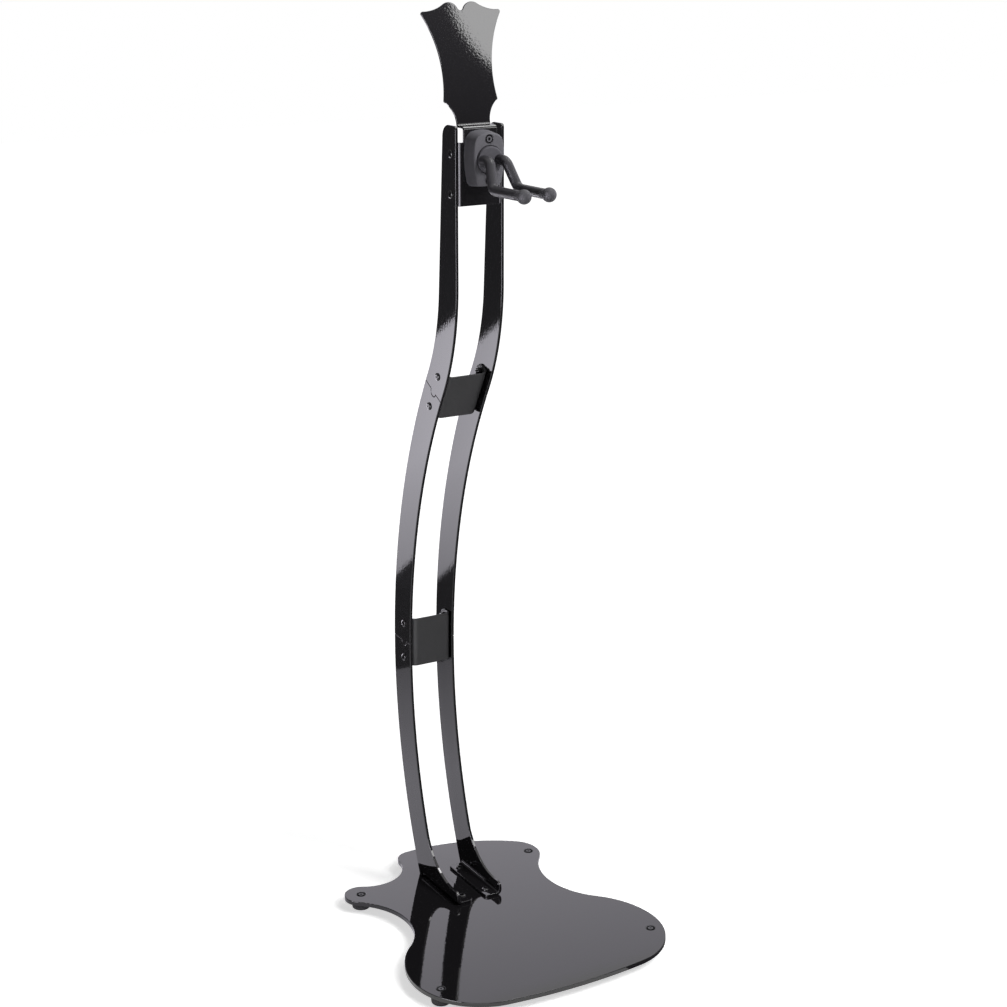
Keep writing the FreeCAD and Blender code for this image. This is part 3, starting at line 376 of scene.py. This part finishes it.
def ease_edges(node, width, material, body="stand"):
    """Piece with its cut edges rounded over.

    A copy of the node's mesh is merged and its flats are joined, and then every edge that turns by more
    than SHARP is rounded to the width.
    """
    cut = bmesh.new()
    cut.from_mesh(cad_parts[node].data)
    bmesh.ops.remove_doubles(cut, verts=cut.verts, dist=MERGED)
    bmesh.ops.dissolve_limit(cut, angle_limit=FLAT, verts=cut.verts, edges=cut.edges)
    mesh = bpy.data.meshes.new(node + "_eased")
    cut.to_mesh(mesh)
    cut.free()
    if "custom_normal" in mesh.attributes:
        mesh.attributes.remove(mesh.attributes["custom_normal"])
    mesh.shade_smooth()
    mesh.set_sharp_from_angle(angle=SHARP)
    piece = stand_for(node, node + "_eased", mesh, material, body)
    rounding = piece.modifiers.new("rounding", "BEVEL")
    rounding.width = width
    rounding.segments = ROUND_STEPS
    rounding.limit_method = "ANGLE"
    rounding.angle_limit = SHARP
    rounding.use_clamp_overlap = False
    rounding.harden_normals = True


FASTENER_REACH = 14 * MM


def fasteners(node, ways):
    """Way that each fastener of a node faces, and its lowest and highest corners.

    Seen along their axis, points closer together than FASTENER_REACH belong to one fastener.
    """
    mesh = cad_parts[node].data
    vertices = np.empty(3 * len(mesh.vertices))
    mesh.vertices.foreach_get("co", vertices)
    vertices = vertices.reshape(-1, 3)
    for side, head in np.array(ways, float):
        points = vertices[vertices @ side > 0]
        while len(points):
            near = np.linalg.norm((points - points[0])[:, side == 0], axis=1) < FASTENER_REACH
            yield head, points[near].min(axis=0), points[near].max(axis=0)
            points = points[~near]


def rings_mesh(name, copies, looped):
    """Mesh of closed rings, an array of copies by rings by points, each ring joined to the next.

    A looped copy also joins its last ring to its first, and any other is capped at both ends.
    """
    count, rows, turns = copies.shape[:3]
    row = np.arange(rows if looped else rows - 1)[:, None]
    turn = np.arange(turns)
    above, beside = (row + 1) % rows, (turn + 1) % turns
    corners = ((row, turn), (row, beside), (above, beside), (above, turn))
    quads = np.stack([ring * turns + point for ring, point in corners], -1)
    faces = []
    for copy in range(count):
        start = copy * rows * turns
        faces += (quads.reshape(-1, 4) + start).tolist()
        if not looped:
            faces.append((start + turn[::-1]).tolist())
            faces.append((start + (rows - 1) * turns + turn).tolist())
    mesh = bpy.data.meshes.new(name)
    mesh.from_pydata(copies.reshape(-1, 3).tolist(), [], faces)
    mesh.shade_smooth()
    mesh.set_sharp_from_angle(angle=SHARP)
    return mesh


# Points round each ring of a screw or nut, and their turns about its axis
TURNS = 48
TURN = np.arange(TURNS) * 2 * math.pi / TURNS
RING = np.ones(TURNS)

# Rings in each pitch of a thread, and the most pitches that a shank has
STEPS_PER_PITCH = 6
THREADED_PITCHES = 14

# Rings over a head's dome, a cup's lip and the cone at each end of a nut
DOME_STEPS = 12
LIP_STEPS = 9
CONE_STEPS = 7

# A cup's head stands a little above the solid's, with a wall under its groove and eased corners.
CUP_PROUD = 0.1 * MM
CUP_WALL = 0.4 * MM
CUP_EASE = 0.15 * MM

# Radius of a nut's round face over its width, of its bore over the screw's diameter, each cone's share of
# its thickness, and how fast the cone widens
NUT_FACE = 0.48
NUT_BORE = 0.49
NUT_CONE = 0.16
NUT_SLOPE = math.tan(math.radians(60))
BORE_RELIEF = 0.4 * MM


def hexagon(width):
    """Radius of a hexagon at each turn: half its width over the cosine of the turn from mid-side."""
    return width / 2 / np.cos(TURN % (math.pi / 3) - math.pi / 6)


def shank_rings(hardware, shank_length):
    """Radius and height of a threaded shank whose head seats at height 0, as rings up from its tip.

    The radius is the shank's less the thread's depth times a triangle wave of height over pitch less
    turn, cut back at 45 degrees at the tip and fading out over the last pitch.
    """
    crest = hardware.shank / 2
    threaded = min(shank_length - hardware.pitch, THREADED_PITCHES * hardware.pitch)
    rise = np.arange(0, threaded, hardware.pitch / STEPS_PER_PITCH)[:, None]
    wave = np.abs(2 * ((rise / hardware.pitch - TURN / (2 * math.pi)) % 1) - 1)
    runout = np.clip((threaded - rise) / hardware.pitch, 0, 1)
    thread = crest - hardware.thread_depth * wave * runout
    tip = crest - hardware.thread_depth + rise
    return np.minimum(thread, tip), (rise - shank_length) * RING


def cup_rings(hardware, cup, socket_width, shank_length):
    """Radius, height and highlight of a flat head screw in its cup, as rings from tip to socket floor.

    The cup is a bowl under the head whose lip is a half ellipse, a steep groove runs round inside the lip,
    and the flat head rises in the middle of the groove to height 0. The highlight is 1 on the inside of
    the lip and on the flat, where a grey highlight is painted, and else 0, where the black stands for the
    shade of the cup, groove and socket.
    """
    thread, thread_height = shank_rings(hardware, shank_length)
    crest, head = hardware.shank / 2, hardware.cup_head / 2
    inner = cup / 2 - hardware.cup_lip
    under = -hardware.cup_depth - CUP_WALL
    bowl = np.array([(crest, under, 0), (head + CUP_WALL, under, 0), (inner, 0, 0)])
    swing = np.linspace(0, math.pi, LIP_STEPS)
    lip = np.stack([inner + hardware.cup_lip / 2 * (1 + np.cos(swing)), hardware.cup_lip * np.sin(swing),
                    swing > math.pi / 2], -1)
    groove = np.array([(inner - CUP_EASE, -CUP_EASE, 0), (head + CUP_EASE, -hardware.cup_depth, 0),
                       (head, -CUP_EASE, 0), (head - CUP_EASE, 0, 1)])
    profile = np.vstack([bowl, lip, groove])[:, :, None] * RING
    socket = hexagon(socket_width)
    sides = [(socket, height * RING, painted_highlight * RING)
             for height, painted_highlight in ((0, 1), (-CUP_EASE, 0), (-hardware.socket_depth, 0))]
    shank = np.stack([thread, thread_height, 0 * thread], 1)
    return np.moveaxis(np.vstack([shank, profile, sides]), 1, 0)


def screw_rings(hardware, head_width, shank_length):
    """Radius and height of a button head screw, as rings from its tip to the floor of its socket.

    The dome is a quarter ellipse from the rim to the flat, and the socket is a hexagon.
    """
    thread, thread_height = shank_rings(hardware, shank_length)
    crest, rim, flat = hardware.shank / 2, head_width / 2, hardware.head_flat / 2
    swing = np.linspace(0, math.pi / 2, DOME_STEPS)[:, None]
    dome = flat + (rim - flat) * np.cos(swing)
    dome_height = hardware.head_rim + (hardware.head_height - hardware.head_rim) * np.sin(swing)
    socket = hexagon(hardware.socket)
    socket_floor = hardware.head_height - hardware.socket_depth
    radius = np.vstack([thread, [crest * RING, rim * RING], dome * RING, [socket, socket]])
    height = np.vstack([thread_height, [0 * RING, 0 * RING], dome_height * RING,
                        [hardware.head_height * RING, socket_floor * RING]])
    return radius, height


def nut_rings(hardware, width, thickness):
    """Radius and height of a nut: a hexagon cut back by a cone at each end, then its bore's wall.

    The cone leaves a round face a little narrower than the nut and falls away at 30 degrees.
    """
    bore = NUT_BORE * hardware.shank
    end = np.linspace(0, NUT_CONE * thickness, CONE_STEPS)
    rise = np.concatenate([end, thickness - end[::-1]])[:, None]
    cone = NUT_FACE * width + np.minimum(rise, thickness - rise) * NUT_SLOPE
    outside = np.minimum(hexagon(width), cone)
    inside = np.array([bore + BORE_RELIEF, bore, bore, bore + BORE_RELIEF])[:, None]
    inside_height = np.array([thickness, thickness - BORE_RELIEF, BORE_RELIEF, 0])[:, None]
    return np.vstack([outside, inside * RING]), np.vstack([rise * RING, inside_height * RING])


def turned(radius, height, seat, axis, start):
    """Points of rings about an axis from a seat: radius by the cosine and sine of the turn, and height.

    The turn starts along one of the axes X, Y and Z, given by its number.
    """
    first = np.eye(3)[start]
    second = np.cross(axis, first)
    return (seat + (radius * np.cos(TURN))[..., None] * first
            + (radius * np.sin(TURN))[..., None] * second + height[..., None] * axis)


def button_screws(node, ways, hardware, material):
    """Button head screws where a node's solids are, each with its head the way it faces."""
    copies = []
    for head, low, high in fasteners(node, ways):
        across = np.flatnonzero(head == 0)
        reach = np.abs(head) @ (high - low)
        top = (low + high) / 2 + head * reach / 2
        rings = screw_rings(hardware, (high - low)[across].max(), reach - hardware.head_height)
        copies.append(turned(*rings, top - head * hardware.head_height, head, across[0]))
    mesh = rings_mesh(node + "_threaded", np.array(copies), looped=False)
    stand_for(node, node + "_threaded", mesh, material)


def cupped_screws(node, ways, cup, socket, hardware, material):
    """Flat head screws in cups where a node's solids are, a little prouder than the solids' heads."""
    copies, painted_highlight = [], []
    for head, low, high in fasteners(node, ways):
        reach = np.abs(head) @ (high - low) + CUP_PROUD
        seat = (low + high) / 2 + head * (reach + CUP_PROUD) / 2
        radius, height, highlight_painted = cup_rings(hardware, cup, socket, reach)
        copies.append(turned(radius, height, seat, head, np.flatnonzero(head == 0)[0]))
        painted_highlight.append(highlight_painted)
    mesh = rings_mesh(node + "_threaded", np.array(copies), looped=False)
    # This attribute paints the grey highlight and the black shade on each head.
    mesh.attributes.new("painted_highlight", "FLOAT", "POINT").data.foreach_set("value", np.ravel(painted_highlight))
    stand_for(node, node + "_threaded", mesh, material)


def hexagon_nuts(node, ways, hardware, material):
    """Chamfered nuts where a node's solids are, with their corners the wider way across."""
    copies = []
    for head, low, high in fasteners(node, ways):
        axis, size = np.abs(head), high - low
        across = np.flatnonzero(axis == 0)
        wide = across[np.argmax(size[across])]
        seat = (low + high) / 2 - axis * (axis @ size) / 2
        copies.append(turned(*nut_rings(hardware, size[across].min(), axis @ size), seat, axis, wide))
    mesh = rings_mesh(node + "_chamfered", np.array(copies), looped=True)
    stand_for(node, node + "_chamfered", mesh, material)


# Pieces


class GUITARSTAND_OT_base(bpy.types.Operator):
    """Enamel the base plate"""

    bl_idname = "guitar_stand.base"
    bl_label = "Base plate"

    def execute(self, context):
        dress(["base_plate"], gloss_enamel(context.scene.stand_finish))
        return {"FINISHED"}


class GUITARSTAND_OT_uprights(bpy.types.Operator):
    """Round the edges of the rails and the headstock carrier and enamel them"""

    bl_idname = "guitar_stand.uprights"
    bl_label = "Rails and headstock"

    def execute(self, context):
        enamel = gloss_enamel(context.scene.stand_finish)
        for name in RAILS + ["headstock_carrier"]:
            ease_edges(name, context.scene.stand_hardware.edge_round, enamel)
        return {"FINISHED"}


class GUITARSTAND_OT_brackets(bpy.types.Operator):
    """Round the edges of the splice brackets and powder coat them"""

    bl_idname = "guitar_stand.brackets"
    bl_label = "Splice brackets"

    def execute(self, context):
        powder = satin_powder(context.scene.stand_finish)
        for name in BRACKETS:
            ease_edges(name, context.scene.stand_hardware.edge_round, powder)
        return {"FINISHED"}


class GUITARSTAND_OT_bolts(bpy.types.Operator):
    """Turn the screws with their threads, heads and cups, and chamfer their nuts"""

    bl_idname = "guitar_stand.bolts"
    bl_label = "Screws and nuts"

    def execute(self, context):
        hardware = context.scene.stand_hardware
        zinc = black_zinc(context.scene.stand_finish)
        highlight_painted = painted_light_oxide(context.scene.stand_finish)
        for name, ways in BOLTED.items():
            button_screws(name + "_screws", ways, hardware, zinc)
            hexagon_nuts(name + "_nuts", ways, hardware, zinc)
        # The foot and block screws have a highlight and shade painted on their heads.
        cupped_screws("foot_screws", UPWARD, hardware.foot_cup, hardware.socket, hardware, highlight_painted)
        cupped_screws("yoke_block_screws", FORWARD, hardware.block_cup, hardware.block_socket, hardware,
                      highlight_painted)
        hexagon_nuts("yoke_block_nuts", FORWARD, hardware, zinc)
        return {"FINISHED"}


class GUITARSTAND_OT_hardware(bpy.types.Operator):
    """Black the nuts in the feet, the washers and the pivot screw"""

    bl_idname = "guitar_stand.hardware"
    bl_label = "Foot and pivot hardware"

    def execute(self, context):
        oxide = black_oxide(context.scene.stand_finish)
        hexagon_nuts("foot_nuts", UPWARD, context.scene.stand_hardware, oxide)
        dress(PLAIN_HARDWARE, oxide)
        return {"FINISHED"}


class GUITARSTAND_OT_fork(bpy.types.Operator):
    """Finish the swivel block, its turret and the two prongs"""

    bl_idname = "guitar_stand.fork"
    bl_label = "Neck fork"

    def execute(self, context):
        finish = context.scene.stand_finish
        for name, nylon in (("yoke_block", finish.nylon), ("yoke_turret", finish.turret_nylon)):
            dress([name], grained(name + "_nylon", nylon, rough=0.6, spacing=finish.nylon_grain,
                                  height=finish.nylon_height, ior=1.25))
        skins = {
            "sleeve": grained("satin_vinyl_sleeve", finish.sleeve, rough=0.42, spacing=finish.grip_grain,
                              height=finish.sleeve_height),
            "cap": grained("matte_cap_rubber", finish.cap, rough=0.6, spacing=finish.grip_grain,
                           height=finish.cap_height),
        }
        rounding = context.scene.stand_hardware.grip_round
        for side in SIDES:
            for piece, skin in skins.items():
                ease_edges(f"{side}_prong_{piece}", rounding, skin, side + "_prong")
        dress(RODS, drawn_steel(finish))
        return {"FINISHED"}


class GUITARSTAND_OT_feet(bpy.types.Operator):
    """Finish the rubber feet"""

    bl_idname = "guitar_stand.feet"
    bl_label = "Rubber feet"

    def execute(self, context):
        finish = context.scene.stand_finish
        dress(FEET, grained("foot_rubber", finish.foot, rough=0.75, spacing=finish.foot_grain,
                            height=finish.foot_height))
        return {"FINISHED"}


# Stage


SEEN = ("Is Camera Ray", "Is Glossy Ray", "Is Transmission Ray")
WHITE = (1.0, 1.0, 1.0, 1.0)


def any_ray(tree, *kinds):
    """Socket that is 1 where a ray is of one of these kinds, and else 0."""
    path = add(tree, "ShaderNodeLightPath")
    found = path.outputs[kinds[0]]
    for kind in kinds[1:]:
        both = add(tree, "ShaderNodeMath", {"operation": "MAXIMUM"})
        tree.links.new(found, both.inputs[0])
        tree.links.new(path.outputs[kind], both.inputs[1])
        found = both.outputs["Value"]
    return found


def room(scene, studio):
    """White to the eye and to reflections, and a dimmer even fill for matte surfaces."""
    world = bpy.data.worlds.new("studio_room")
    world.use_nodes = True
    tree = world.node_tree
    tree.nodes.clear()
    seen = add(tree, "ShaderNodeBackground", {"Strength": 1.0, "Color": WHITE})
    fill = add(tree, "ShaderNodeBackground", {"Strength": studio.fill, "Color": WHITE})
    mix = add(tree, "ShaderNodeMixShader", links={"Fac": any_ray(tree, *SEEN)})
    tree.links.new(fill.outputs["Background"], mix.inputs[1])
    tree.links.new(seen.outputs["Background"], mix.inputs[2])
    add(tree, "ShaderNodeOutputWorld", links={"Surface": mix.outputs["Shader"]})
    scene.world = world


def stage_sheet(name, rows, material):
    """Sheet of quads between rows that each have a left and a right end."""
    mesh = bpy.data.meshes.new(name)
    points = [point for row in rows for point in row]
    quads = [(start, start + 1, start + 3, start + 2) for start in range(0, len(points) - 2, 2)]
    mesh.from_pydata(points, [], quads)
    mesh.materials.append(material)
    piece = bpy.data.objects.new(name, mesh)
    bpy.context.scene.collection.objects.link(piece)
    piece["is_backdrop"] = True
    return piece


# Half the side of the floor, and how far from the stand its glow starts to grow and is full
FLOOR_REACH = 9.0
GLOW_START = 0.4
GLOW_END = 2.5


def floor(studio):
    """Pale floor, white to the eye, that keeps the stand's shadow: its lit colour and a glow added up.

    The glow grows to full white away from the stand, where the lamps no longer reach.
    """
    material, tree = new_material("studio_floor")
    matte = add(tree, "ShaderNodeBsdfDiffuse", {"Color": opaque(studio.floor)})
    place = add(tree, "ShaderNodeTexCoord").outputs["Object"]
    distance = add(tree, "ShaderNodeVectorMath", {"operation": "LENGTH"}, {"Vector": place})
    spread = add(tree, "ShaderNodeMapRange",
                 {"From Min": GLOW_START, "From Max": GLOW_END,
                  "To Min": studio.floor_glow, "To Max": 1.0},
                 {"Value": distance.outputs["Value"]})
    part = add(tree, "ShaderNodeMath", {"operation": "MULTIPLY"})
    tree.links.new(any_ray(tree, *SEEN), part.inputs[0])
    tree.links.new(spread.outputs["Result"], part.inputs[1])
    glow = add(tree, "ShaderNodeEmission", {"Color": WHITE}, {"Strength": part.outputs["Value"]})
    both = add(tree, "ShaderNodeAddShader")
    tree.links.new(matte.outputs["BSDF"], both.inputs[0])
    tree.links.new(glow.outputs["Emission"], both.inputs[1])
    show(tree, both.outputs["Shader"])
    rows = level(-FLOOR_REACH, FLOOR_REACH, (-FLOOR_REACH, FLOOR_REACH), height=0)
    stage_sheet("floor", rows, material)


def card(name, studio, rows, brightness):
    """Card that only reflections see, with a brightness at both ends of each row that blends over it."""
    material, tree = new_material(name)
    strength = add(tree, "ShaderNodeAttribute", {"attribute_name": "brightness"})
    glow = add(tree, "ShaderNodeEmission", {"Color": opaque(studio.card)},
               {"Strength": strength.outputs["Fac"]})
    show(tree, glow.outputs["Emission"])
    piece = stage_sheet(name, rows, material)
    levels = piece.data.attributes.new("brightness", "FLOAT", "POINT")
    levels.data.foreach_set("value", np.ravel(brightness))
    for kind in ("camera", "diffuse", "transmission", "volume_scatter", "shadow"):
        setattr(piece, "visible_" + kind, False)


def upright(start, end, heights):
    """Rows of an upright card between two points of the floor."""
    return [((*start, height), (*end, height)) for height in heights]


def level(left, right, depths, height=1 * MM):
    """Rows of a level sheet, from front to back. A card lies just above the floor."""
    return [((left, depth, height), (right, depth, height)) for depth in depths]


def even(*values):
    """The same brightness at both ends of each row."""
    return [(value, value) for value in values]


def cards(studio):
    """What the gloss mirrors, so that black steel shows bands of grey and black and thin lines of light.

    A shaded floor, a low panel and dark walls behind the stand give the rails their bands, and the
    backdrop further back gives the base its grey. Dark walls in front keep the headstock panel black. A
    sloped panel behind and a strip at the left put glints on the screws, and the other panels light edges
    and prongs.
    """
    floor_left, floor_right, split_x = -1.6, 0.4, -0.35
    gap_y, panel_y, wall_y, backdrop_y = 0.945, 1.33, 1.35, 2.5
    strip_x, side_x = -1.49, 2.0
    front_corner, left_corner = (-1.0, -3.2), (-1.5, -1.2)
    dark, strip_light, side_light, slope_light, front_light = 0.1, 14.0, 3.0, 7.0, 2.8
    card("shaded_floor", studio, level(floor_left, floor_right, (0.0, 0.5, gap_y)), even(0.85, 0.98, 0.5))
    card("dark_gap", studio, level(floor_left, floor_right, (gap_y, wall_y)), even(dark, dark))
    card("low_panel", studio,
         [((-0.85, panel_y, low), (-0.54, panel_y, high))
          for low, high in ((0.218, 0.001), (0.42, 0.215), (0.642, 0.428))],
         [(3.1, 1.4), (4.2, 2.25), (3.9, 2.2)])
    card("dark_wall_behind", studio, upright((-2.2, wall_y), (split_x, wall_y), (0.0, 2.2)),
         even(0.12, 0.08))
    card("graded_wall_behind", studio, upright((split_x, wall_y), (floor_right, wall_y), (0.0, 0.9, 2.2)),
         [(0.12, 0.12), (0.12, 0.3), (0.5, 1.0)])
    card("sloped_panel", studio,
         [((left, back, height), (-0.05, back, height))
          for left, back, height in ((-0.25, 0.96, 0.02), (-0.36, panel_y, 0.6))],
         even(slope_light, slope_light))
    card("backdrop", studio, upright((0.45, backdrop_y), (2.85, backdrop_y), (1.25, 1.85)),
         even(1.6, 1.18))
    card("dark_below_backdrop", studio, upright((0.6, backdrop_y), (2.6, backdrop_y), (0.35, 1.2)),
         even(dark, dark))
    card("dark_wall_front", studio, upright(front_corner, (3.0, -1.6), (0.0, 1.95, 2.4, 4.0)),
         even(0.09, 0.13, 0.36, 0.36))
    card("dark_wall_left", studio, upright(left_corner, (-1.5, wall_y), (0.0, 3.0)), even(dark, dark))
    card("left_strip", studio, upright((strip_x, -1.0), (strip_x, -0.1), (0.35, 0.75, 1.3)),
         even(12.0, strip_light, strip_light))
    card("dark_floor_front", studio, level(0.1, 3.5, (-4.0, 0.1)), even(dark, dark))
    card("side_panel", studio, upright((side_x, -0.9), (side_x, 0.4), (0.55, 2.0)),
         even(side_light, side_light))
    card("left_front_panel", studio,
         upright(front_corner, left_corner, (0.0, 0.7, 0.71, 0.735, 0.745, 1.2)),
         even(front_light, front_light, dark, dark, front_light, front_light))


def softbox(name, place, target, width, radiance, shape="DISK", in_gloss=True):
    """Lamp of one width that faces a target; its power is pi times radiance times area."""
    lamp = bpy.data.lights.new(name, "AREA")
    lamp.shape = shape
    lamp.size = width
    area = math.pi * width ** 2 / 4 if shape == "DISK" else width ** 2
    lamp.energy = radiance * math.pi * area
    light = bpy.data.objects.new(name, lamp)
    bpy.context.scene.collection.objects.link(light)
    light.location = place
    light.rotation_euler = (Vector(target) - Vector(place)).to_track_quat("-Z", "Y").to_euler()
    light.visible_camera = False
    light.visible_glossy = in_gloss


def lamps():
    """Softboxes at the right of the front and overhead, and a wide front light that no gloss shows."""
    softbox("key_softbox", place=(1.193, -1.375, 1.986), target=(0.1, 0.06, 1.2), width=0.6, radiance=6.0)
    softbox("front_key", place=(1.1, -2.1, 2.9), target=(0, 0, 0.9), width=1.6, radiance=10.5,
            shape="SQUARE", in_gloss=False)
    softbox("top_softbox", place=(1.05, 0.05, 3.0), target=(0, 0, 0), width=0.6, radiance=11.0,
            shape="SQUARE")


SENSOR_WIDTH = 36.0


def camera(scene, studio):
    """Camera of the view, from its place, turn, pitch and roll."""
    data = bpy.data.cameras.new("camera")
    data.sensor_width = SENSOR_WIDTH
    data.lens = studio.camera_lens
    turn, pitch = studio.camera_turn, studio.camera_pitch
    right = Vector((math.cos(turn), math.sin(turn), 0))
    back = Vector((math.sin(turn) * math.cos(pitch), -math.cos(turn) * math.cos(pitch),
                   math.sin(pitch)))
    upright_camera = Matrix((right, back.cross(right), back)).transposed()
    placed = bpy.data.objects.new("camera", data)
    scene.collection.objects.link(placed)
    placed.matrix_world = (Matrix.Translation(studio.camera_place)
                           @ (upright_camera @ Matrix.Rotation(studio.camera_roll, 3, "Z")).to_4x4())
    scene.camera = placed


class GUITARSTAND_OT_stage(bpy.types.Operator):
    """Lay the floor, hang the lamps and cards, and set the camera"""

    bl_idname = "guitar_stand.stage"
    bl_label = "Stage"

    def execute(self, context):
        scene = context.scene
        studio = scene.stand_studio
        scene.view_settings.view_transform = "Standard"
        room(scene, studio)
        floor(studio)
        cards(studio)
        lamps()
        camera(scene, studio)
        return {"FINISHED"}


class GUITARSTAND_PT_panel(bpy.types.Panel):
    """Steps and settings of the guitar stand"""

    bl_idname = "GUITARSTAND_PT_panel"
    bl_label = "Guitar Stand"
    bl_space_type = "VIEW_3D"
    bl_region_type = "UI"
    bl_category = "Guitar Stand"

    def draw(self, context):
        for operator in OPERATORS:
            self.layout.operator(operator.bl_idname)
        for name in GROUPS:
            group = getattr(context.scene, name)
            box = self.layout.box()
            for setting in group.__annotations__:
                box.prop(group, setting)


OPERATORS = (
    GUITARSTAND_OT_base,
    GUITARSTAND_OT_uprights,
    GUITARSTAND_OT_brackets,
    GUITARSTAND_OT_bolts,
    GUITARSTAND_OT_hardware,
    GUITARSTAND_OT_fork,
    GUITARSTAND_OT_feet,
    GUITARSTAND_OT_stage,
)
GROUPS = {"stand_hardware": StandHardware, "stand_finish": StandFinish, "stand_studio": StandStudio}
CLASSES = (*GROUPS.values(), *OPERATORS, GUITARSTAND_PT_panel)


def register():
    """Register the classes and hang the settings on the scene."""
    for item in CLASSES:
        bpy.utils.register_class(item)
    for name, group in GROUPS.items():
        setattr(bpy.types.Scene, name, PointerProperty(type=group))


def unregister():
    """Take the settings off the scene and unregister the classes."""
    for name in GROUPS:
        delattr(bpy.types.Scene, name)
    for item in reversed(CLASSES):
        bpy.utils.unregister_class(item)


def main():
    """Build the stand piece by piece."""
    register()
    bpy.ops.guitar_stand.base()
    bpy.ops.guitar_stand.uprights()
    bpy.ops.guitar_stand.brackets()
    bpy.ops.guitar_stand.bolts()
    bpy.ops.guitar_stand.hardware()
    bpy.ops.guitar_stand.fork()
    bpy.ops.guitar_stand.feet()
    bpy.ops.guitar_stand.stage()
    boxes = {"cad": CAD_BOX, "visual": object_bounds()}
    {name: [list(corner) for corner in box] for name, box in boxes.items()}


if __name__ == "__main__":
    main()
